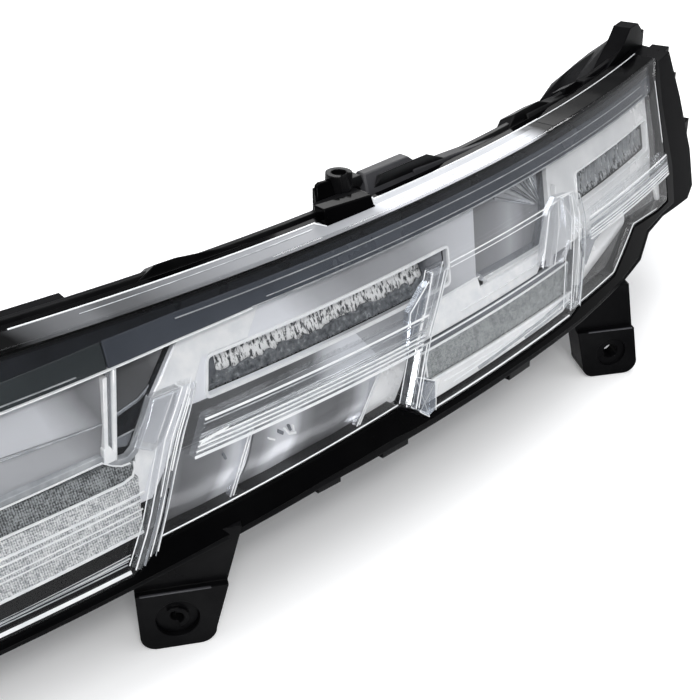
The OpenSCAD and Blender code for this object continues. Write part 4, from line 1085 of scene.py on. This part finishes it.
# A glossy bead follows the lens along the housing's front
rim_outer = [
    (-236, -95.6), (-138, -90.4), (-60, -86.4), (-24, -85.4), (-14, -86), (100, -86), (138, -84), (160, -81),
    (175, -73.6), (196, -72.8), (212, -73.4), (222, -58), (230, -30), (240, -12), (238, -11),
]
rim_inner = [
    (236.9, -10.4), (229.2, -18), (218, -45.2), (204.8, -70), (191, -70), (163.2, -67.5), (150.6, -73),
    (134.2, -79.6), (101, -80.5), (92, -82.5), (-6.4, -84), (-18.4, -76), (-125, -80.6), (-136.4, -88.1),
    (-233, -93.2),
]
rim_outline = rim_outer + rim_inner
prism("rim_bead", rim_outline, 0.25, 1.6, "gloss_black", "gloss_black", bevel=0.5)

# The housing again, with its roof and the crown behind it laid lower, as the photo shows them
ROOF_Z = -4.5
ROOF_FRONT, ROOF_BACK = 15.0, 24.0
BEHIND_LENS, REAR_FOOT_Z, OUTER_CORNER_U = 14.6, -66, 226


def outboard(u):
    """0 on the inboard part of the roof, rising to 1 on the outboard one."""
    return clamp((u - 60) / 60)


def roof_fall(u, d):
    """Height of the lowered roof at a distance d behind the lens's top edge."""
    steep = 0.42 + 0.33 * outboard(u)
    return -9.5 - 0.6 * (min(d, ROOF_BACK) - ROOF_FRONT) - steep * max(0.0, d - ROOF_BACK)


def lowered(u, d, z):
    """Height of a point of the housing once the roof is laid lower."""
    if d < BEHIND_LENS or z < REAR_FOOT_Z or u > OUTER_CORNER_U:
        return z
    if z >= LENS_TOP + 0.4:
        # What stands above the old roof keeps about its height, and what lies below it is flattened
        above = z - ROOF_Z
        if above < 0:
            rise = 0.3
        elif u < 0:
            rise = 0.8
        else:
            rise = 1.25 if u < 80 else 1.1
        return roof_fall(u, d) + rise * above
    if d <= ROOF_BACK:
        return z
    # Behind the roof: the crown drops with it, and the rear wall's foot stays
    outer = outboard(u)
    share = clamp((z + 34 + 6 * outer) / (18 - 3 * outer))
    return z - (4.5 + outer * min(6.0, 0.33 * (d - ROOF_BACK))) * share


def housing_height(x, y, z, u, d):
    """The boss's tower stays, the hook plate goes down behind the lens, and the rest follows the roof."""
    if -20 < u < 9 and d < 15.1 and z > -9.6:
        return -9.7
    if -16 < x < 9.6 and -4.2 < y < 6.5 and z > ROOF_Z + 0.05:
        return z
    return lowered(u, d, z)


def moved_copy(node, mat, height):
    """A CAD node again, each vertex at height(x, y, z, u, d), in mm."""
    me = nodes[node].data.copy()
    me.name = node + "_shell"
    for v in me.vertices:
        x, y, z = (c / MM for c in v.co)
        u = math.atan2(x, SWEEP_Y - y) * SWEEP_R
        d = SWEEP_R - math.hypot(x, SWEEP_Y - y)
        v.co.z = height(x, y, z, u, d) * MM
    obj = linked(me.name, me)
    me.materials.clear()
    me.materials.append(M[mat])
    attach(obj, "root")
    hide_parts(node)


moved_copy("housing", "moulded", housing_height)

# The hook plate in front of the boss, its bright end as a painted highlight, and the fins beside the boss
prism("boss_block", [(-24, -9.7), (-23.4, -3.5), (1.6, -5.0), (2, -9.7)], 5.8, 11.5, "gloss_black", BODY, bevel=0.5)
prism("boss_block_back", [(-17.5, -11), (-17.5, -6.6), (5.5, -6.8), (5.5, -11)], 11.4, 19.5, "moulded", BODY,
      bevel=0.5)
prism("boss_block_end", [(0.9, -5.7), (1.7, -5.8), (1.9, -8.4), (1.1, -8.6)], 5.5, 6.2, "line", LENS, bevel=0.15)
prism("boss_fin_left", [(-16.4, -13), (-13.4, -2.7), (-12.6, -1.6), (-10.8, -1.1), (-5, -1.4), (-5, -13)], 19.4, 21.2,
      "gloss_black", BODY, bevel=0.4)
prism("boss_fin_right", [(3, -3.6), (5.2, -4.6), (11, -10.4), (11, -13), (3, -13)], 19.4, 21.2, "gloss_black", BODY,
      bevel=0.4)
# Raised pad outboard of the boss, and the roof's sloping face beyond it, both the black moulding with a painted sheen
# in grey
bar("roof_pad_face", [(-13, 14.8), (-9.5, 14.9), (-4.0, 19.6), (-4.0, 24), (-13, 24)], 9, 43, "moulded_black_painted_sheen", BODY,
    slant0=0.9, slant1=-0.9, mid_z=-8, bevel=0.6)
prism("roof_face_right", [(36, -13), (36, -7.4), (60, -8.3), (90, -10.1), (114, -11.8), (114, -13)], 15, 20,
      "moulded_black_painted_sheen", BODY, bevel=0.5)
prism("roof_pad_right", [(121, -14), (121.6, -7.7), (135, -8.0), (162, -9.6), (164, -14)], 15, 20, "moulded", BODY,
      bevel=0.5)
prism("roof_pad_outer", [(173, -14), (180, -8.7), (184, -8.5), (207, -12.2), (209, -14)], 15, 20, "moulded", BODY,
      bevel=0.5)


# The legs' pads stand turned by this angle, and their folds have this section: (out from the pad, height)
LEG_TURN = math.radians(-33)
FOLD = ((-0.1, -107.9), (-0.1, -107.3), (0.8, -107.3), (0.8, -107.9))


def leg_glint(name, x, y, left, right):
    """A grey strip along the rounded fold at the top of a leg's pad: a painted glint where the fold catches the light.
    """
    bm = bmesh.new()
    ends = []
    for t in (-left, right):
        ends.append([
            bm.verts.new(Vector((x + t * math.cos(LEG_TURN) - side * math.sin(LEG_TURN),
                                 y + t * math.sin(LEG_TURN) + side * math.cos(LEG_TURN), z)) * MM)
            for side, z in FOLD
        ])
    bm.faces.new(ends[0])
    bm.faces.new(ends[1][::-1])
    bridge(bm, *ends)
    mesh_piece(name, closed_mesh(name, bm), "fold", bevel=0.15)


leg_glint("leg_fold_painted_glint_middle", -122.5, -40.7, 12.4, 12.4)
leg_glint("leg_fold_painted_glint_outboard", 138.6, -43.5, 12.4, 9.4)
leg_glint("leg_fold_painted_glint_inboard", -216, -16, 12.4, 12.4)


SINK_MID_Z = -63
FIN_ROOT_D, FIN_FADE = 60, 6


def sink_height(x, y, z, u, d):
    """The heat sink's fins grow lower towards their tips, so that they stay behind the lowered roof."""
    if d <= FIN_ROOT_D + 0.5:
        return z
    return SINK_MID_Z + (z - SINK_MID_Z) * (1 - 0.36 * clamp((d - FIN_ROOT_D) / FIN_FADE))


# ---------------------------------------------------------------- carried-over CAD nodes

MOULDED_NODES = ("lens_seal", "driver_cover", "connector_socket", "vent_cap", "leg_clip", "driver_parts")


def finish_of(node):
    """The finish of a CAD node that is shown as it is, or None."""
    if node in MOULDED_NODES:
        return "moulded"
    if node.endswith("screws"):
        return "zinc"
    if "board" in node:
        return "board"
    if node.startswith("leds"):
        return "led"
    return "brass" if node == "connector_pins" else None


moved_copy("heat_sink", "cast", sink_height)
for name, obj in nodes.items():
    finish = finish_of(name)
    if finish:
        for material_slot in obj.material_slots:
            material_slot.material = M[finish]

# ---------------------------------------------------------------- stage, light and camera


def stage_floor():
    me = bpy.data.meshes.new("floor")
    z = cad_box[0][2] - 0.0002
    n, half = 24, 3.0
    verts = [(-half + 2 * half * i / n, -half + 2 * half * j / n, z) for j in range(n + 1) for i in range(n + 1)]
    faces = [
        (j * (n + 1) + i, j * (n + 1) + i + 1, (j + 1) * (n + 1) + i + 1, (j + 1) * (n + 1) + i)
        for j in range(n) for i in range(n)
    ]
    me.from_pydata(verts, [], faces)
    obj = linked("floor", me)
    mat, tree, bsdf = new_material("floor_white")
    put(bsdf, "Base Color", (0.94, 0.94, 0.94, 1))
    put(bsdf, "Roughness", 0.9)
    put(bsdf, "Specular IOR Level", 0.1)
    # Whiter to the camera the further it lies from the lamp's sweep, so that the shadow stays near the lamp
    lp = add(tree, "LightPath")
    away = add(tree, "VectorMath")
    away.operation = "DISTANCE"
    put(away, 1, (0, SWEEP_Y * MM, z))
    put(away, 0, coords(tree))
    share = math_node(tree, "MULTIPLY_ADD", away.outputs["Value"], 1 / 0.3, -0.7 / 0.3, True)
    far = add(tree, "VectorMath")
    far.operation = "DISTANCE"
    put(far, 1, (0, 0.02, z))
    put(far, 0, coords(tree))
    wide = math_node(tree, "MULTIPLY", math_node(tree, "MULTIPLY_ADD", far.outputs["Value"], 6.0, -1.9, True), 0.36)
    glow = ramp(tree, share, [(0.1, 0.34), (0.34, 0.2), (0.52, 0.0), (0.63, 0.0), (0.68, 0.12), (0.74, 0.32),
                              (0.85, 0.36)])
    put(bsdf, "Emission Color", (1, 1, 1, 1))
    to_camera = math_node(tree, "MULTIPLY", lp.outputs["Is Camera Ray"], math_node(tree, "MAXIMUM", glow, wide))
    put(bsdf, "Emission Strength", to_camera)
    me.materials.append(mat)


stage_floor()


def studio_world():
    world = bpy.data.worlds.new("studio")
    bpy.context.scene.world = world
    world.use_nodes = True
    tree = world.node_tree
    tree.nodes.clear()
    out = add(tree, "OutputWorld")
    lp = add(tree, "LightPath")
    up = axes(tree, add(tree, "TexCoord").outputs["Generated"])["Z"]
    height = ramp(tree, up, [(p, (v * 0.975, v * 0.99, v * 1.02)) for p, v in (
        (0.0, 0.5), (0.2, 0.12), (0.42, 0.3), (0.6, 0.95), (1.0, 0.9))])
    soft = add(tree, "Background")
    put(soft, "Strength", 0.85)
    put(soft, "Color", height)
    white = add(tree, "Background")
    put(white, "Color", (1, 1, 1, 1))
    put(white, "Strength", 1.0)
    mix = add(tree, "MixShader")
    put(mix, "Fac", lp.outputs["Is Camera Ray"])
    put(mix, 1, soft.outputs[0])
    put(mix, 2, white.outputs[0])
    put(out, "Surface", mix.outputs[0])


studio_world()


def softbox(name, at, aim, size, power):
    light = bpy.data.lights.new(name, "AREA")
    light.shape = "RECTANGLE"
    light.size, light.size_y = size
    light.energy = power
    obj = linked(name, light)
    obj.location = at
    obj.rotation_euler = (Vector(aim) - Vector(at)).to_track_quat("-Z", "Y").to_euler()


softbox("over", (0.1, 0.25, 1.1), (0, 0, -0.05), (1.4, 0.7), 9)
softbox("front_left", (-0.7, -0.9, 0.9), (0, 0, -0.05), (0.4, 0.4), 8)
softbox("back_right", (0.9, 0.6, 0.6), (0.05, 0, -0.05), (0.6, 0.5), 3)

cam = bpy.data.cameras.new("photo_camera")
cam.lens = CAMERA_LENS_MM
cam.sensor_width = 36
cam.clip_start = 0.01
cam_obj = linked("photo_camera", cam)
cam_obj.location = CAMERA_AT
cam_obj.rotation_euler = Vector(CAMERA_LOOKS).to_track_quat("-Z", "Y").to_euler()

scene = bpy.context.scene
scene.camera = cam_obj
scene.view_settings.view_transform = "Standard"
scene.cycles.transparent_max_bounces = 32
scene.cycles.max_bounces = 10
